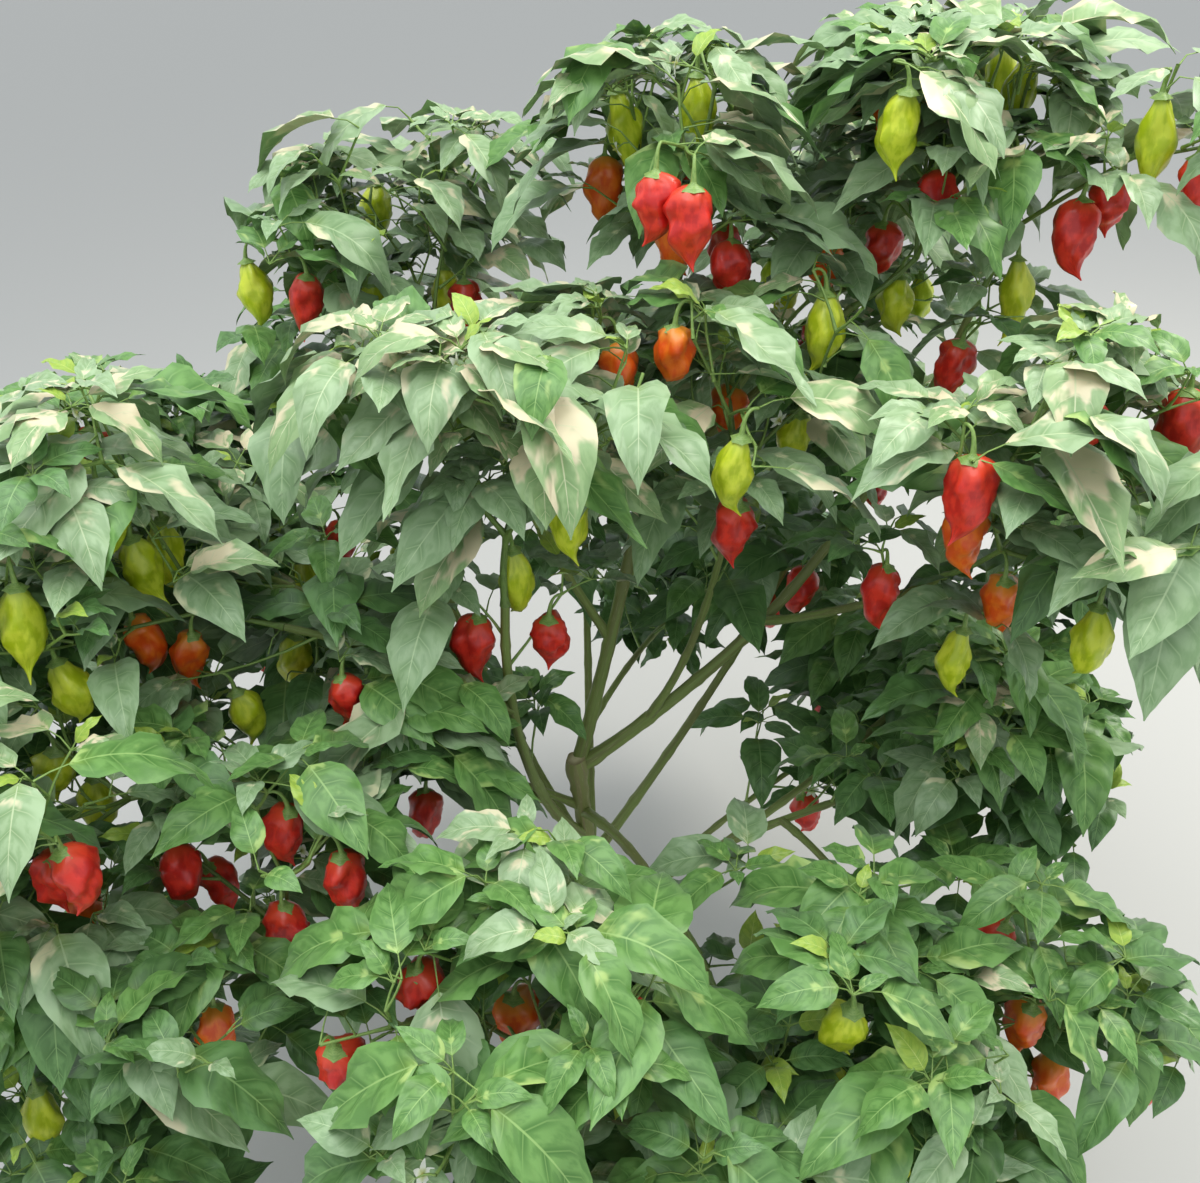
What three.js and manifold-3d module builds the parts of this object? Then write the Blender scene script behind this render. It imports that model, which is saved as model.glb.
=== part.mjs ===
// A chilli pepper plant as it stands in a bed: main stem, boughs and leafy masses with fruit.
// Millimetres, +Z up, origin at the flat cut under the main stem. The front of the plant faces -Y.
import * as THREE from "three";
import { mergeVertices } from "three/addons/utils/BufferGeometryUtils.js";
import Module from "manifold-3d";

const wasm = await Module();
wasm.setup();

// Main stem
const STEM_HEIGHT = 570;
const STEM_LEAN_X = -28;
const STEM_LEAN_Y = -40;
const STEM_FOOT_RADIUS = 13;
const STEM_TIP_RADIUS = 9;
const FLARE_RADIUS = 9;
const FLARE_HEIGHT = 26;
const FLARE_LOBES = 5;
const FLARE_LOBE_DEPTH = 0.16;
const FORK_SHARE = 0.97;
const FORK_SWELL = 4;
const FORK_SWELL_LENGTH = 16;
const STEM_SIDES = 10;
const STEM_RINGS = 12;
const STEM_RING_CROWDING = 1.6;

// Boughs: each starts on the axis of the limb that it leaves, at a share of that limb's length.
// Its path is an azimuth (0 is +X, -90 the front), a level distance out, a height up and its arch.
// Arch lifts its middle off the straight line, by a share of its length. Radii are at base and tip.
const BOUGH_SIDES = 5;
const BOUGH_RING_SPACING = 80;
const BOUGH_NODE_SWELL = 1.2;
const BOUGH_SWELL_FADE = 12;
const LIMB_GAP = 0.3;
const BOUGHS = [
  { part: "leader", from: "main_stem", at: FORK_SHARE, path: [55, 165, 445, -0.03], radii: [8, 5] },
  { part: "right", from: "main_stem", at: FORK_SHARE, path: [19, 425, 490, -0.1], radii: [7.5, 4] },
  { part: "front_right", from: "main_stem", at: 0.84, path: [-66, 300, 50, 0.1], radii: [6, 4] },
  { part: "left", from: "main_stem", at: 0.76, path: [-128, 120, 395, -0.1], radii: [6.5, 4.5] },
  { part: "back_left", from: "main_stem", at: 0.7, path: [131, 335, 330, -0.05], radii: [6.5, 4] },
  { part: "front", from: "main_stem", at: 0.62, path: [-97, 325, 150, -0.04], radii: [6, 4] },
  { part: "back_right", from: "main_stem", at: 0.68, path: [46, 385, 280, -0.04], radii: [6.5, 4] },
  { part: "back", from: "main_stem", at: 0.56, path: [92, 315, 350, -0.05], radii: [6.5, 4] },
  { part: "front_left", from: "main_stem", at: 0.52, path: [-139, 340, 215, -0.03], radii: [6, 4] },
  { part: "right_low", from: "main_stem", at: 0.47, path: [-3, 310, 235, 0.05], radii: [6.5, 4] },
  { part: "back_left_high", from: "bough_leader", at: 0.33, path: [132, 255, 230, -0.04], radii: [5, 3.5] },
  { part: "back_right_high", from: "bough_leader", at: 0.46, path: [54, 325, 190, 0.06], radii: [5, 3.5] },
  { part: "right_high", from: "bough_leader", at: 0.64, path: [10, 215, 212, 0.03], radii: [4.8, 3.5] },
  { part: "right_front", from: "bough_right", at: 0.4, path: [-45, 205, 150, -0.04], radii: [5, 3.5] },
  { part: "inner", from: "bough_right", at: 0.14, path: [-5, 75, 250, -0.05], radii: [4.8, 3.5] },
  { part: "left_inner", from: "main_stem", at: 0.85, path: [-158, 130, 95, 0.04], radii: [5, 3.5] },
  { part: "left_low", from: "bough_left", at: 0.3, path: [-158, 340, 140, 0.08], radii: [4.8, 3.5] },
  { part: "left_side", from: "bough_left", at: 0.7, path: [181, 215, 105, 0.05], radii: [4.8, 3.5] },
  { part: "left_outer", from: "bough_left_side", at: 0.45, path: [150, 230, 40, 0.08], radii: [4, 3.2] },
  { part: "right_skirt", from: "bough_right_low", at: 0.75, path: [-66, 212, 5, 0.06], radii: [4.6, 3.5] },
  { part: "right_outer", from: "bough_right_low", at: 0.52, path: [25, 350, 220, -0.04], radii: [4.8, 3.5] },
  { part: "back_low", from: "bough_back", at: 0.45, path: [60, 250, 35, 0.07], radii: [4.6, 3.5] },
  { part: "back_left_low", from: "bough_back_left", at: 0.45, path: [160, 275, 45, 0.07], radii: [4.6, 3.5] },
  { part: "left_skirt", from: "bough_front_left", at: 0.45, path: [-156, 265, 0, 0.08], radii: [4.6, 3.5] },
  { part: "right_inner", from: "main_stem", at: 0.42, path: [30, 300, 150, 0.04], radii: [5, 3.5] },
  { part: "left_middle", from: "bough_back_left", at: 0.3, path: [172, 130, 110, 0.04], radii: [4.6, 3.5] },
];

// Foliage masses: one at each bough's tip, in its own space round a centre ahead of the tip.
// reach is the radius of that space and fruit the number of pods that hang in it.
const MASSES = [
  { part: "leader", reach: 213, fruit: 2 },
  { part: "right", reach: 230, fruit: 2 },
  { part: "front_right", reach: 205, fruit: 1 },
  { part: "left", reach: 218, fruit: 2 },
  { part: "back_left", reach: 218, fruit: 1 },
  { part: "front", reach: 210, fruit: 1 },
  { part: "back_right", reach: 218, fruit: 1 },
  { part: "back", reach: 223, fruit: 1 },
  { part: "front_left", reach: 218, fruit: 2 },
  { part: "right_low", reach: 203, fruit: 1 },
  { part: "back_left_high", reach: 208, fruit: 1 },
  { part: "back_right_high", reach: 208, fruit: 1 },
  { part: "right_high", reach: 225, fruit: 2 },
  { part: "right_front", reach: 203, fruit: 2 },
  { part: "inner", reach: 205, fruit: 1 },
  { part: "left_inner", reach: 175, fruit: 1 },
  { part: "left_low", reach: 210, fruit: 2 },
  { part: "left_side", reach: 225, fruit: 2 },
  { part: "left_outer", reach: 203, fruit: 1 },
  { part: "right_skirt", reach: 213, fruit: 1 },
  { part: "right_outer", reach: 203, fruit: 1 },
  { part: "back_low", reach: 213, fruit: 1 },
  { part: "back_left_low", reach: 208, fruit: 1 },
  { part: "left_skirt", reach: 205, fruit: 2 },
  { part: "right_inner", reach: 190, fruit: 1 },
  { part: "left_middle", reach: 180, fruit: 1 },
];
const CENTRE_AHEAD = 0.5;
const CENTRE_LIFT = 0.55;
const SPACE_HEIGHT = 0.92;
const SPACE_MARGIN = 1.2;
const MASS_STEM_SHARE = 0.92;

// Seeds: for twigs, fruit and leaves, a step for each mass and a step for each twig
const SEED = 41;
const TWIG_SEEDS = [1009, 31];
const POD_SEEDS = [2003, 7];
const LEAF_SEEDS = [3001, 17];

// Twigs: a stem that forks in three, and shoots that fork in two
const STEM_TWIG_LENGTH = 0.34;
const SHOOT_LENGTH = 0.5;
const SHOOT_LENGTH_SPREAD = 0.15;
const SHOOT_SHORTENING = 0.76;
const SHOOT_LEAN = [48, 38];
const SHOOT_LEAN_SPREAD = 0.2;
const SHOOT_TURN_SPREAD = 20;
const SHOOT_RETRY_TURN = 53;
const SHOOTS_AT_FORK = [3, 2];
const SHOOT_LIFT = 0.3;
const SHOOT_TRIES = 5;
const SHOOT_TAPER = 0.72;
const LAST_LEVEL = 2;
const TWIG_SIDES = 3;
const TWIG_CLEARANCE = 2.5;
const TWIG_SAMPLES = 4;
const NODE_SWELL = 1.5;

// Leaves
const LEAF_LENGTH = 142;
const LEAF_LENGTH_SPREAD = 0.22;
const LEAF_WIDTH = 0.58;
const LEAF_WIDEST = 0.4;
const LEAF_KEEL = 0.016;
const LEAF_ARCH = 0.13;
const LEAF_DROOP = 0.1;
const LEAF_ROLL = 30;
const LEAF_RISE = [8, -42];
const LEAF_SINK = 0.3;
const LEAF_ALONG_TWIG = 0.9;
const LEAF_STEP = 5;
const LEAF_CLEARANCE = 1.5;
const LEAF_SAMPLES = 8;
const LEAVES_END_SHARE = 0.94;
const LEAVES_MIDDLE_SHARE = 0.5;
const LEAVES_AT_FORK = 2;
const LEAVES_AT_TIP = 3;
const LEAVES_ON_SHOOT = 1;
const LEAVES_MOST = 15;
const LEAF_TRIES = 12;
const GOLDEN_ANGLE = 137.5;

// Fruit
const POD_LENGTH = 66;
const POD_LENGTH_SPREAD = 0.16;
const POD_RADIUS = 18;
const POD_RADIUS_SPREAD = 0.1;
const POD_HANG = -78;
const POD_SIDES = 4;
const POD_PROFILE = [[0.95, 0.16], [0.88, 0.56], [0.34, 0.88], [0.1, 1]];
const PEDICEL_LENGTH = 26;
const PEDICEL_RADIUS = 1.5;
const PEDICEL_WIDENING = 1.4;
const PEDICEL_OUT = 0.7;
const POD_CLEARANCE = 3;
const POD_SAMPLES = [0.2, 0.5, 0.8];
const POD_TURNS = [0, 90, 180, 270];
const POD_TRIES = 8;

// Colours
const STEM_COLOUR = 0x6f7f45;
const BOUGH_COLOUR = 0x5f7a38;
const FOLIAGE_COLOURS = [0x5f8a4c, 0x6b9656, 0x557f47];
const PLANT_ROUGHNESS = 0.55;

const UP = new THREE.Vector3(0, 0, 1);
const radians = THREE.MathUtils.degToRad;

// A repeatable stream of numbers from 0 to 1
function randomStream(seed) {
  let state = seed >>> 0;
  return () => {
    state = (state + 0x6d2b79f5) >>> 0;
    let t = state;
    t = Math.imul(t ^ (t >>> 15), t | 1);
    t ^= t + Math.imul(t ^ (t >>> 7), t | 61);
    return ((t ^ (t >>> 14)) >>> 0) / 4294967296;
  };
}

// The stream of a mass's twig, fruit or leaves
function streamFor([massStep, codeStep], mass, code) {
  return randomStream(SEED + mass.index * massStep + code * codeStep);
}

// A factor near 1, at most a share above or below it
function varied(share, random) {
  return 1 + share * (2 * random() - 1);
}

// A direction from an azimuth and a rise, in degrees
function direction(azimuth, rise) {
  const level = Math.cos(radians(rise));
  return new THREE.Vector3(
    level * Math.cos(radians(azimuth)),
    level * Math.sin(radians(azimuth)),
    Math.sin(radians(rise)),
  );
}

// A unit vector square to an axis, turned about it by an angle in degrees
function sideways(axis, angle) {
  const start = Math.abs(axis.z) < 0.9 ? UP : new THREE.Vector3(1, 0, 0);
  const across = new THREE.Vector3().crossVectors(axis, start).normalize();
  return across.applyAxisAngle(axis, radians(angle));
}

// The closed solid of a geometry
function solidOf(geometry) {
  geometry.deleteAttribute("normal");
  geometry.deleteAttribute("uv");
  const merged = mergeVertices(geometry, 1e-4);
  return new wasm.Manifold(
    new wasm.Mesh({
      numProp: 3,
      vertProperties: new Float32Array(merged.attributes.position.array),
      triVerts: new Uint32Array(merged.index.array),
    }),
  );
}

// The geometry of the largest body of a solid, with any sealed hollow filled and scraps dropped
function geometryOf(solid) {
  const bodies = solid.decompose();
  const largest = bodies.reduce((a, b) => (b.volume() > a.volume() ? b : a));
  const mesh = largest.getMesh();
  const geometry = new THREE.BufferGeometry();
  geometry.setAttribute("position", new THREE.BufferAttribute(new Float32Array(mesh.vertProperties), 3));
  geometry.setIndex(new THREE.BufferAttribute(new Uint32Array(mesh.triVerts), 1));
  geometry.computeVertexNormals();
  return geometry;
}

// A round bar whose rings lie at points, square to headings, with a radius for each ring and turn
function ringedBar(points, headings, radiusAt, sides) {
  const rings = points.length - 1;
  const geometry = new THREE.CylinderGeometry(1, 1, 1, sides, rings);
  let across = sideways(headings[0], 0);
  const frames = points.map((at, i) => {
    const along = headings[i];
    across = across.clone().addScaledVector(along, -across.dot(along)).normalize();
    return { at, across, third: new THREE.Vector3().crossVectors(across, along) };
  });
  const place = geometry.attributes.position;
  for (let i = 0; i < place.count; i++) {
    const ring = Math.round((place.getY(i) + 0.5) * rings);
    const x = place.getX(i);
    const z = place.getZ(i);
    const size = Math.hypot(x, z) > 0.5 ? radiusAt(ring, Math.atan2(z, x)) : 0;
    const frame = frames[ring];
    const point = frame.at.clone().addScaledVector(frame.across, x * size);
    point.addScaledVector(frame.third, z * size);
    place.setXYZ(i, ...point);
  }
  return geometry;
}

// A bar through a line of points with a radius at each
function bentBar(points, radii, sides) {
  const headings = points.map((_, i) => {
    const before = points[Math.max(i - 1, 0)];
    const after = points[Math.min(i + 1, points.length - 1)];
    return after.clone().sub(before).normalize();
  });
  return ringedBar(points, headings, (ring) => radii[ring], sides);
}

// The curve of a limb that leaves a point
function limbCurve(start, [azimuth, out, up, arch]) {
  const end = start.clone().addScaledVector(direction(azimuth, 0), out).addScaledVector(UP, up);
  const chord = end.clone().sub(start);
  const length = chord.length();
  const along = chord.normalize();
  const lift = UP.clone().addScaledVector(along, -along.z).normalize();
  const middle = start.clone().lerp(end, 0.5).addScaledVector(lift, 2 * arch * length);
  return new THREE.QuadraticBezierCurve3(start, middle, end);
}

// The main stem's radius, with its root flare and its swollen fork
function stemRadius(share, turn) {
  const height = share * STEM_HEIGHT;
  const flare = FLARE_RADIUS * Math.exp(-height / FLARE_HEIGHT);
  const lobes = 1 + FLARE_LOBE_DEPTH * Math.cos(FLARE_LOBES * turn);
  const fromFork = (height - FORK_SHARE * STEM_HEIGHT) / FORK_SWELL_LENGTH;
  const swell = FORK_SWELL * Math.exp(-fromFork * fromFork);
  return THREE.MathUtils.lerp(STEM_FOOT_RADIUS, STEM_TIP_RADIUS, share) + flare * lobes + swell;
}

// A bough's radius, a little swollen where it starts
function boughRadius(bough, share) {
  const swell = 1 + (BOUGH_NODE_SWELL - 1) * Math.exp(-share * BOUGH_SWELL_FADE);
  return THREE.MathUtils.lerp(...bough.radii, share) * swell;
}

// The limbs by name: each with its curve and its radius along it
function layOutLimbs() {
  const limbs = new Map();
  const top = new THREE.Vector3(STEM_LEAN_X, STEM_LEAN_Y, STEM_HEIGHT);
  const half = new THREE.Vector3(0, 0, STEM_HEIGHT / 2);
  limbs.set("main_stem", {
    curve: new THREE.QuadraticBezierCurve3(new THREE.Vector3(), half, top),
    radiusAt: stemRadius,
    sides: STEM_SIDES,
    rings: STEM_RINGS,
    crowding: STEM_RING_CROWDING,
  });
  for (const bough of BOUGHS) {
    const curve = limbCurve(limbs.get(bough.from).curve.getPoint(bough.at), bough.path);
    limbs.set("bough_" + bough.part, {
      curve,
      radiusAt: (share) => boughRadius(bough, share),
      sides: BOUGH_SIDES,
      rings: Math.max(3, Math.round(curve.getLength() / BOUGH_RING_SPACING)),
      crowding: 1,
    });
  }
  return limbs;
}

// The solid of a limb, grown by a gap where it serves to cut its neighbours
function limbSolid(limb, grow) {
  const shares = Array.from({ length: limb.rings + 1 }, (_, i) => (i / limb.rings) ** limb.crowding);
  const points = shares.map((share) => limb.curve.getPoint(share));
  const headings = shares.map((share) => limb.curve.getTangent(share));
  const radiusAt = (ring, turn) => limb.radiusAt(shares[ring], turn) + grow;
  return solidOf(ringedBar(points, headings, radiusAt, limb.sides));
}

// The limbs' geometry, each cut clear of the limb that it leaves and of those that leave close by
function makeLimbs(limbs) {
  const made = new Map();
  const cutters = [];
  for (const [name, limb] of limbs) {
    const whole = limbSolid(limb, 0);
    made.set(name, geometryOf(cutters.reduce((solid, cutter) => solid.subtract(cutter), whole)));
    cutters.push(limbSolid(limb, LIMB_GAP));
  }
  return made;
}

// Straight pieces of every limb, with their radii, for clearances
function limbSpans(limbs) {
  const spans = [];
  for (const limb of limbs.values()) {
    const count = limb.rings * 2;
    for (let i = 0; i < count; i++) {
      spans.push({
        from: limb.curve.getPoint(i / count),
        to: limb.curve.getPoint((i + 1) / count),
        radius: limb.radiusAt(i / count, 0),
      });
    }
  }
  return spans;
}

// The least clear distance from a point to a list of spans
function clearOf(point, spans) {
  let least = Infinity;
  for (const span of spans) {
    const along = span.to.clone().sub(span.from);
    const share = point.clone().sub(span.from).dot(along) / along.lengthSq();
    const near = span.from.clone().addScaledVector(along, THREE.MathUtils.clamp(share, 0, 1));
    least = Math.min(least, near.distanceTo(point) - span.radius);
  }
  return least;
}

// The masses with the start of their stem and the centre of their space
function layOutMasses(limbs) {
  return MASSES.map((mass, index) => {
    const { curve, radiusAt } = limbs.get("bough_" + mass.part);
    const heading = curve.getTangent(1);
    const tip = curve.getPoint(1);
    const ahead = heading.clone().addScaledVector(UP, CENTRE_LIFT).normalize();
    return {
      ...mass,
      index,
      heading,
      start: tip.clone().addScaledVector(heading, LIMB_GAP),
      radius: radiusAt(1) * MASS_STEM_SHARE,
      centre: tip.clone().addScaledVector(ahead, CENTRE_AHEAD * mass.reach),
    };
  });
}

// Whether a point lies in a mass's own space: within its reach and on its side of its neighbours
function inSpace(point, mass, masses) {
  if (point.z < SPACE_MARGIN) return false;
  const offset = point.clone().sub(mass.centre);
  const flat = Math.hypot(offset.x, offset.y, offset.z / SPACE_HEIGHT);
  if (flat > mass.reach) return false;
  const own = offset.lengthSq() - mass.reach ** 2;
  for (const other of masses) {
    if (other === mass) continue;
    const theirs = point.distanceToSquared(other.centre) - other.reach ** 2;
    const apart = 2 * other.centre.distanceTo(mass.centre);
    if ((theirs - own) / apart < SPACE_MARGIN) return false;
  }
  return true;
}

// A twig's place in its mass, or null where it would leave the space or touch a limb
function tryTwig(from, heading, length, radius, world) {
  const to = from.clone().addScaledVector(heading, length);
  for (let i = 1; i <= TWIG_SAMPLES; i++) {
    const point = from.clone().lerp(to, i / TWIG_SAMPLES);
    if (!inSpace(point, world.mass, world.masses)) return null;
    if (clearOf(point, world.spans) < radius + TWIG_CLEARANCE) return null;
  }
  return { from, to, heading, radius };
}

// The twigs of a mass, grown fork by fork; each twig draws on a stream of its own
function growTwigs(world) {
  const { mass } = world;
  const { start, heading, radius } = mass;
  const to = start.clone().addScaledVector(heading, STEM_TWIG_LENGTH * mass.reach);
  const twigs = [{ from: start, to, heading, radius, level: 0, code: 1 }];
  for (let i = 0; i < twigs.length; i++) {
    const parent = twigs[i];
    if (parent.level === LAST_LEVEL) continue;
    const random = streamFor(TWIG_SEEDS, mass, parent.code);
    const turn = random() * 360;
    const count = SHOOTS_AT_FORK[parent.level];
    const length = SHOOT_LENGTH * mass.reach * SHOOT_SHORTENING ** parent.level;
    for (let child = 0; child < count; child++) {
      let placed = null;
      for (let attempt = 0; attempt < SHOOT_TRIES && !placed; attempt++) {
        const jitter = SHOOT_TURN_SPREAD * (2 * random() - 1) + attempt * SHOOT_RETRY_TURN;
        const out = sideways(parent.heading, turn + (child * 360) / count + jitter);
        const lean = radians(SHOOT_LEAN[parent.level] * varied(SHOOT_LEAN_SPREAD, random));
        const shoot = parent.heading.clone().multiplyScalar(Math.cos(lean));
        shoot.addScaledVector(out, Math.sin(lean)).addScaledVector(UP, SHOOT_LIFT).normalize();
        const size = length * varied(SHOOT_LENGTH_SPREAD, random);
        placed = tryTwig(parent.to, shoot, size, parent.radius * SHOOT_TAPER, world);
      }
      if (!placed) continue;
      const goesOn = !parent.next;
      const twig = { ...placed, level: parent.level + 1, code: parent.code * 4 + child + 1, goesOn };
      if (goesOn) parent.next = twig;
      twigs.push(twig);
    }
  }
  return twigs;
}

// Whether a pod stays in its mass's space, clear of limbs, twigs and the pods before it
function podFits(pod, twigs, pods, world) {
  const inside = (point) => inSpace(point, world.mass, world.masses);
  if (!inside(pod.to)) return false;
  return POD_SAMPLES.every((share) => {
    const point = pod.from.clone().lerp(pod.to, share);
    if (clearOf(point, world.spans) < pod.radius + POD_CLEARANCE) return false;
    if (clearOf(point, twigs) < pod.radius) return false;
    if (clearOf(point, pods) < pod.radius + POD_CLEARANCE) return false;
    const side = (turn) => point.clone().addScaledVector(sideways(pod.down, turn), pod.radius);
    return POD_TURNS.every((turn) => inside(side(turn)));
  });
}

// The pods of a mass: each hangs below a fork on a pedicel that leaves sideways
function hangPods(twigs, world) {
  const pods = [];
  const forks = twigs.filter((twig) => twig.level < LAST_LEVEL).reverse();
  const random = streamFor(POD_SEEDS, world.mass, 1);
  const most = world.mass.fruit;
  for (let attempt = 0; attempt < POD_TRIES * most && pods.length < most; attempt++) {
    const twig = forks[attempt % forks.length];
    const hang = direction(random() * 360, 0).multiplyScalar(PEDICEL_OUT).sub(UP).normalize();
    const length = POD_LENGTH * varied(POD_LENGTH_SPREAD, random);
    const from = twig.to.clone().addScaledVector(hang, PEDICEL_LENGTH);
    const down = direction(random() * 360, POD_HANG);
    const to = from.clone().addScaledVector(down, length);
    const radius = POD_RADIUS * varied(POD_RADIUS_SPREAD, random);
    const pod = { fork: twig.to, from, to, down, length, radius };
    const others = twigs.filter((other) => other !== twig);
    if (podFits(pod, others, pods, world)) pods.push(pod);
  }
  return pods;
}

// A leaf's corners: base, tip, both sides and the keel under its middle
function leafCorners(base, heading, length, roll) {
  const normal = UP.clone().addScaledVector(heading, -heading.z).normalize();
  normal.applyAxisAngle(heading, radians(roll));
  const across = new THREE.Vector3().crossVectors(normal, heading);
  const at = (along, side, above) =>
    base.clone()
      .addScaledVector(heading, along * length)
      .addScaledVector(across, side * length)
      .addScaledVector(normal, above * length);
  return {
    base: at(0, 0, 0),
    tip: at(1, 0, -LEAF_DROOP),
    left: at(LEAF_WIDEST, LEAF_WIDTH / 2, LEAF_ARCH),
    right: at(LEAF_WIDEST, -LEAF_WIDTH / 2, LEAF_ARCH),
    keel: at(LEAF_WIDEST, 0, LEAF_ARCH - LEAF_KEEL),
  };
}

// The triangles of a leaf's blade
function bladeOf(leaf) {
  return [
    [leaf.base, leaf.left, leaf.right],
    [leaf.left, leaf.tip, leaf.right],
  ];
}

// Whether any of a list of lines passes through a leaf's blade
function pierced(leaf, lines) {
  const ray = new THREE.Ray();
  const hit = new THREE.Vector3();
  return lines.some(([from, to]) => {
    const length = from.distanceTo(to);
    ray.set(from, to.clone().sub(from).divideScalar(length));
    return bladeOf(leaf).some(
      ([a, b, c]) => ray.intersectTriangle(a, b, c, false, hit) && hit.distanceTo(from) < length,
    );
  });
}

// The lines of a leaf: its outline and its fold
function linesOf(leaf) {
  return [
    [leaf.base, leaf.left],
    [leaf.left, leaf.tip],
    [leaf.tip, leaf.right],
    [leaf.right, leaf.base],
    [leaf.left, leaf.right],
  ];
}

// Whether a leaf stays in its mass's space, clear of limbs and fruit, and crosses no twig or leaf
function leafFits(leaf, length, world) {
  const corners = [leaf.tip, leaf.left, leaf.right, leaf.keel];
  if (!corners.every((corner) => inSpace(corner, world.mass, world.masses))) return false;
  if (pierced(leaf, world.twigLines.filter((line) => line[1] !== world.own))) return false;
  const crosses = (other) => pierced(leaf, linesOf(other)) || pierced(other, linesOf(leaf));
  if (world.leaves.some(crosses)) return false;
  for (let i = 1; i <= LEAF_SAMPLES; i++) {
    const share = i / LEAF_SAMPLES;
    const outward = share < LEAF_WIDEST;
    const part = outward ? share / LEAF_WIDEST : (share - LEAF_WIDEST) / (1 - LEAF_WIDEST);
    const along = (corner) =>
      outward ? leaf.base.clone().lerp(corner, part) : corner.clone().lerp(leaf.tip, part);
    const rib = along(leaf.keel);
    for (const edge of [along(leaf.left), along(leaf.right)]) {
      const room = LEAF_CLEARANCE + Math.hypot(length / LEAF_SAMPLES, edge.distanceTo(rib) / 2) / 2;
      for (const across of [0, 0.5, 1]) {
        const point = rib.clone().lerp(edge, across);
        if (clearOf(point, world.spans) < room || clearOf(point, world.pods) < room) return false;
      }
    }
  }
  return true;
}

// Leaves along the end of a twig or round its middle, each tried at golden angles until it fits
function spreadLeaves(twig, share, count, random, world) {
  let turn = random() * 360;
  for (let number = 0; number < count && world.leaves.length < LEAVES_MOST; number++) {
    const at = twig.from.clone().lerp(twig.to, share).addScaledVector(twig.heading, -number * LEAF_STEP);
    for (let attempt = 0; attempt < LEAF_TRIES; attempt++) {
      turn += GOLDEN_ANGLE;
      const heading = direction(turn, THREE.MathUtils.lerp(LEAF_RISE[0], LEAF_RISE[1], random()));
      const length = LEAF_LENGTH * varied(LEAF_LENGTH_SPREAD, random);
      const roll = LEAF_ROLL * (2 * random() - 1);
      const leaf = leafCorners(at.clone().addScaledVector(heading, -LEAF_SINK), heading, length, roll);
      if (Math.abs(heading.dot(twig.heading)) > LEAF_ALONG_TWIG || !leafFits(leaf, length, world)) continue;
      world.leaves.push(leaf);
      break;
    }
  }
}

// The leaves of a mass: at its twigs' tips, its forks and along its shoots
function growLeaves(twigs, world) {
  for (const twig of [...twigs].reverse()) {
    const random = streamFor(LEAF_SEEDS, world.mass, twig.code);
    const atEnd = twig.level === LAST_LEVEL ? LEAVES_AT_TIP : LEAVES_AT_FORK;
    world.own = twig.to;
    spreadLeaves(twig, LEAVES_END_SHARE, atEnd, random, world);
    if (twig.level > 0) spreadLeaves(twig, LEAVES_MIDDLE_SHARE, LEAVES_ON_SHOOT, random, world);
  }
}

// The solids of the twigs: a run of twigs that go on from one another is one bar with swollen nodes
function twigSolids(twigs) {
  return twigs.filter((twig) => !twig.goesOn).map((first) => {
    const points = [first.from];
    const radii = [first.radius];
    for (let twig = first; twig; twig = twig.next) {
      points.push(twig.to);
      radii.push(twig.radius * SHOOT_TAPER * (twig.next ? NODE_SWELL : 1));
    }
    return solidOf(bentBar(points, radii, TWIG_SIDES));
  });
}

// The solid of a leaf, a double pyramid whose corners are moved to the leaf's own
function leafSolid(leaf) {
  const geometry = new THREE.SphereGeometry(1, 3, 2);
  const place = geometry.attributes.position;
  for (let i = 0; i < place.count; i++) {
    const y = Math.round(place.getY(i));
    const z = Math.round(place.getZ(i));
    const corner = y ? (y > 0 ? leaf.tip : leaf.base) : z ? (z > 0 ? leaf.left : leaf.right) : leaf.keel;
    place.setXYZ(i, ...corner);
  }
  return solidOf(geometry);
}

// The solid of a pod on its pedicel, whose start is sunk in the fork
function podSolid(pod) {
  const points = [pod.fork, pod.from];
  const radii = [PEDICEL_RADIUS, PEDICEL_RADIUS * PEDICEL_WIDENING];
  for (const [wide, low] of POD_PROFILE) {
    points.push(pod.from.clone().addScaledVector(pod.down, low * pod.length));
    radii.push(wide * pod.radius);
  }
  return solidOf(bentBar(points, radii, POD_SIDES));
}

// The geometry of a whole mass: twigs, pods and leaves joined in one solid
function massGeometry(mass, masses, spans) {
  const world = { mass, masses, spans, leaves: [] };
  const twigs = growTwigs(world);
  world.twigLines = twigs.map((twig) => [twig.from, twig.to]);
  const pods = hangPods(twigs, world);
  world.pods = pods;
  growLeaves(twigs, world);
  const solids = [...twigSolids(twigs), ...pods.map(podSolid), ...world.leaves.map(leafSolid)];
  return geometryOf(wasm.Manifold.union(solids));
}

// A named mesh of the plant
function addMesh(group, name, geometry, colour) {
  const material = new THREE.MeshStandardMaterial({ color: colour, roughness: PLANT_ROUGHNESS });
  const mesh = new THREE.Mesh(geometry, material);
  mesh.name = name;
  group.add(mesh);
}

const plant = new THREE.Group();
const limbs = layOutLimbs();
for (const [name, geometry] of makeLimbs(limbs)) {
  addMesh(plant, name, geometry, name === "main_stem" ? STEM_COLOUR : BOUGH_COLOUR);
}
const masses = layOutMasses(limbs);
const spans = limbSpans(limbs);
for (const mass of masses) {
  const colour = FOLIAGE_COLOURS[mass.index % FOLIAGE_COLOURS.length];
  addMesh(plant, "foliage_" + mass.part, massGeometry(mass, masses, spans), colour);
}

export default plant;
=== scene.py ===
"""The looks of the chilli pepper plant: bark, twigs, leaves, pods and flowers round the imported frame."""

import math
from math import radians

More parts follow.
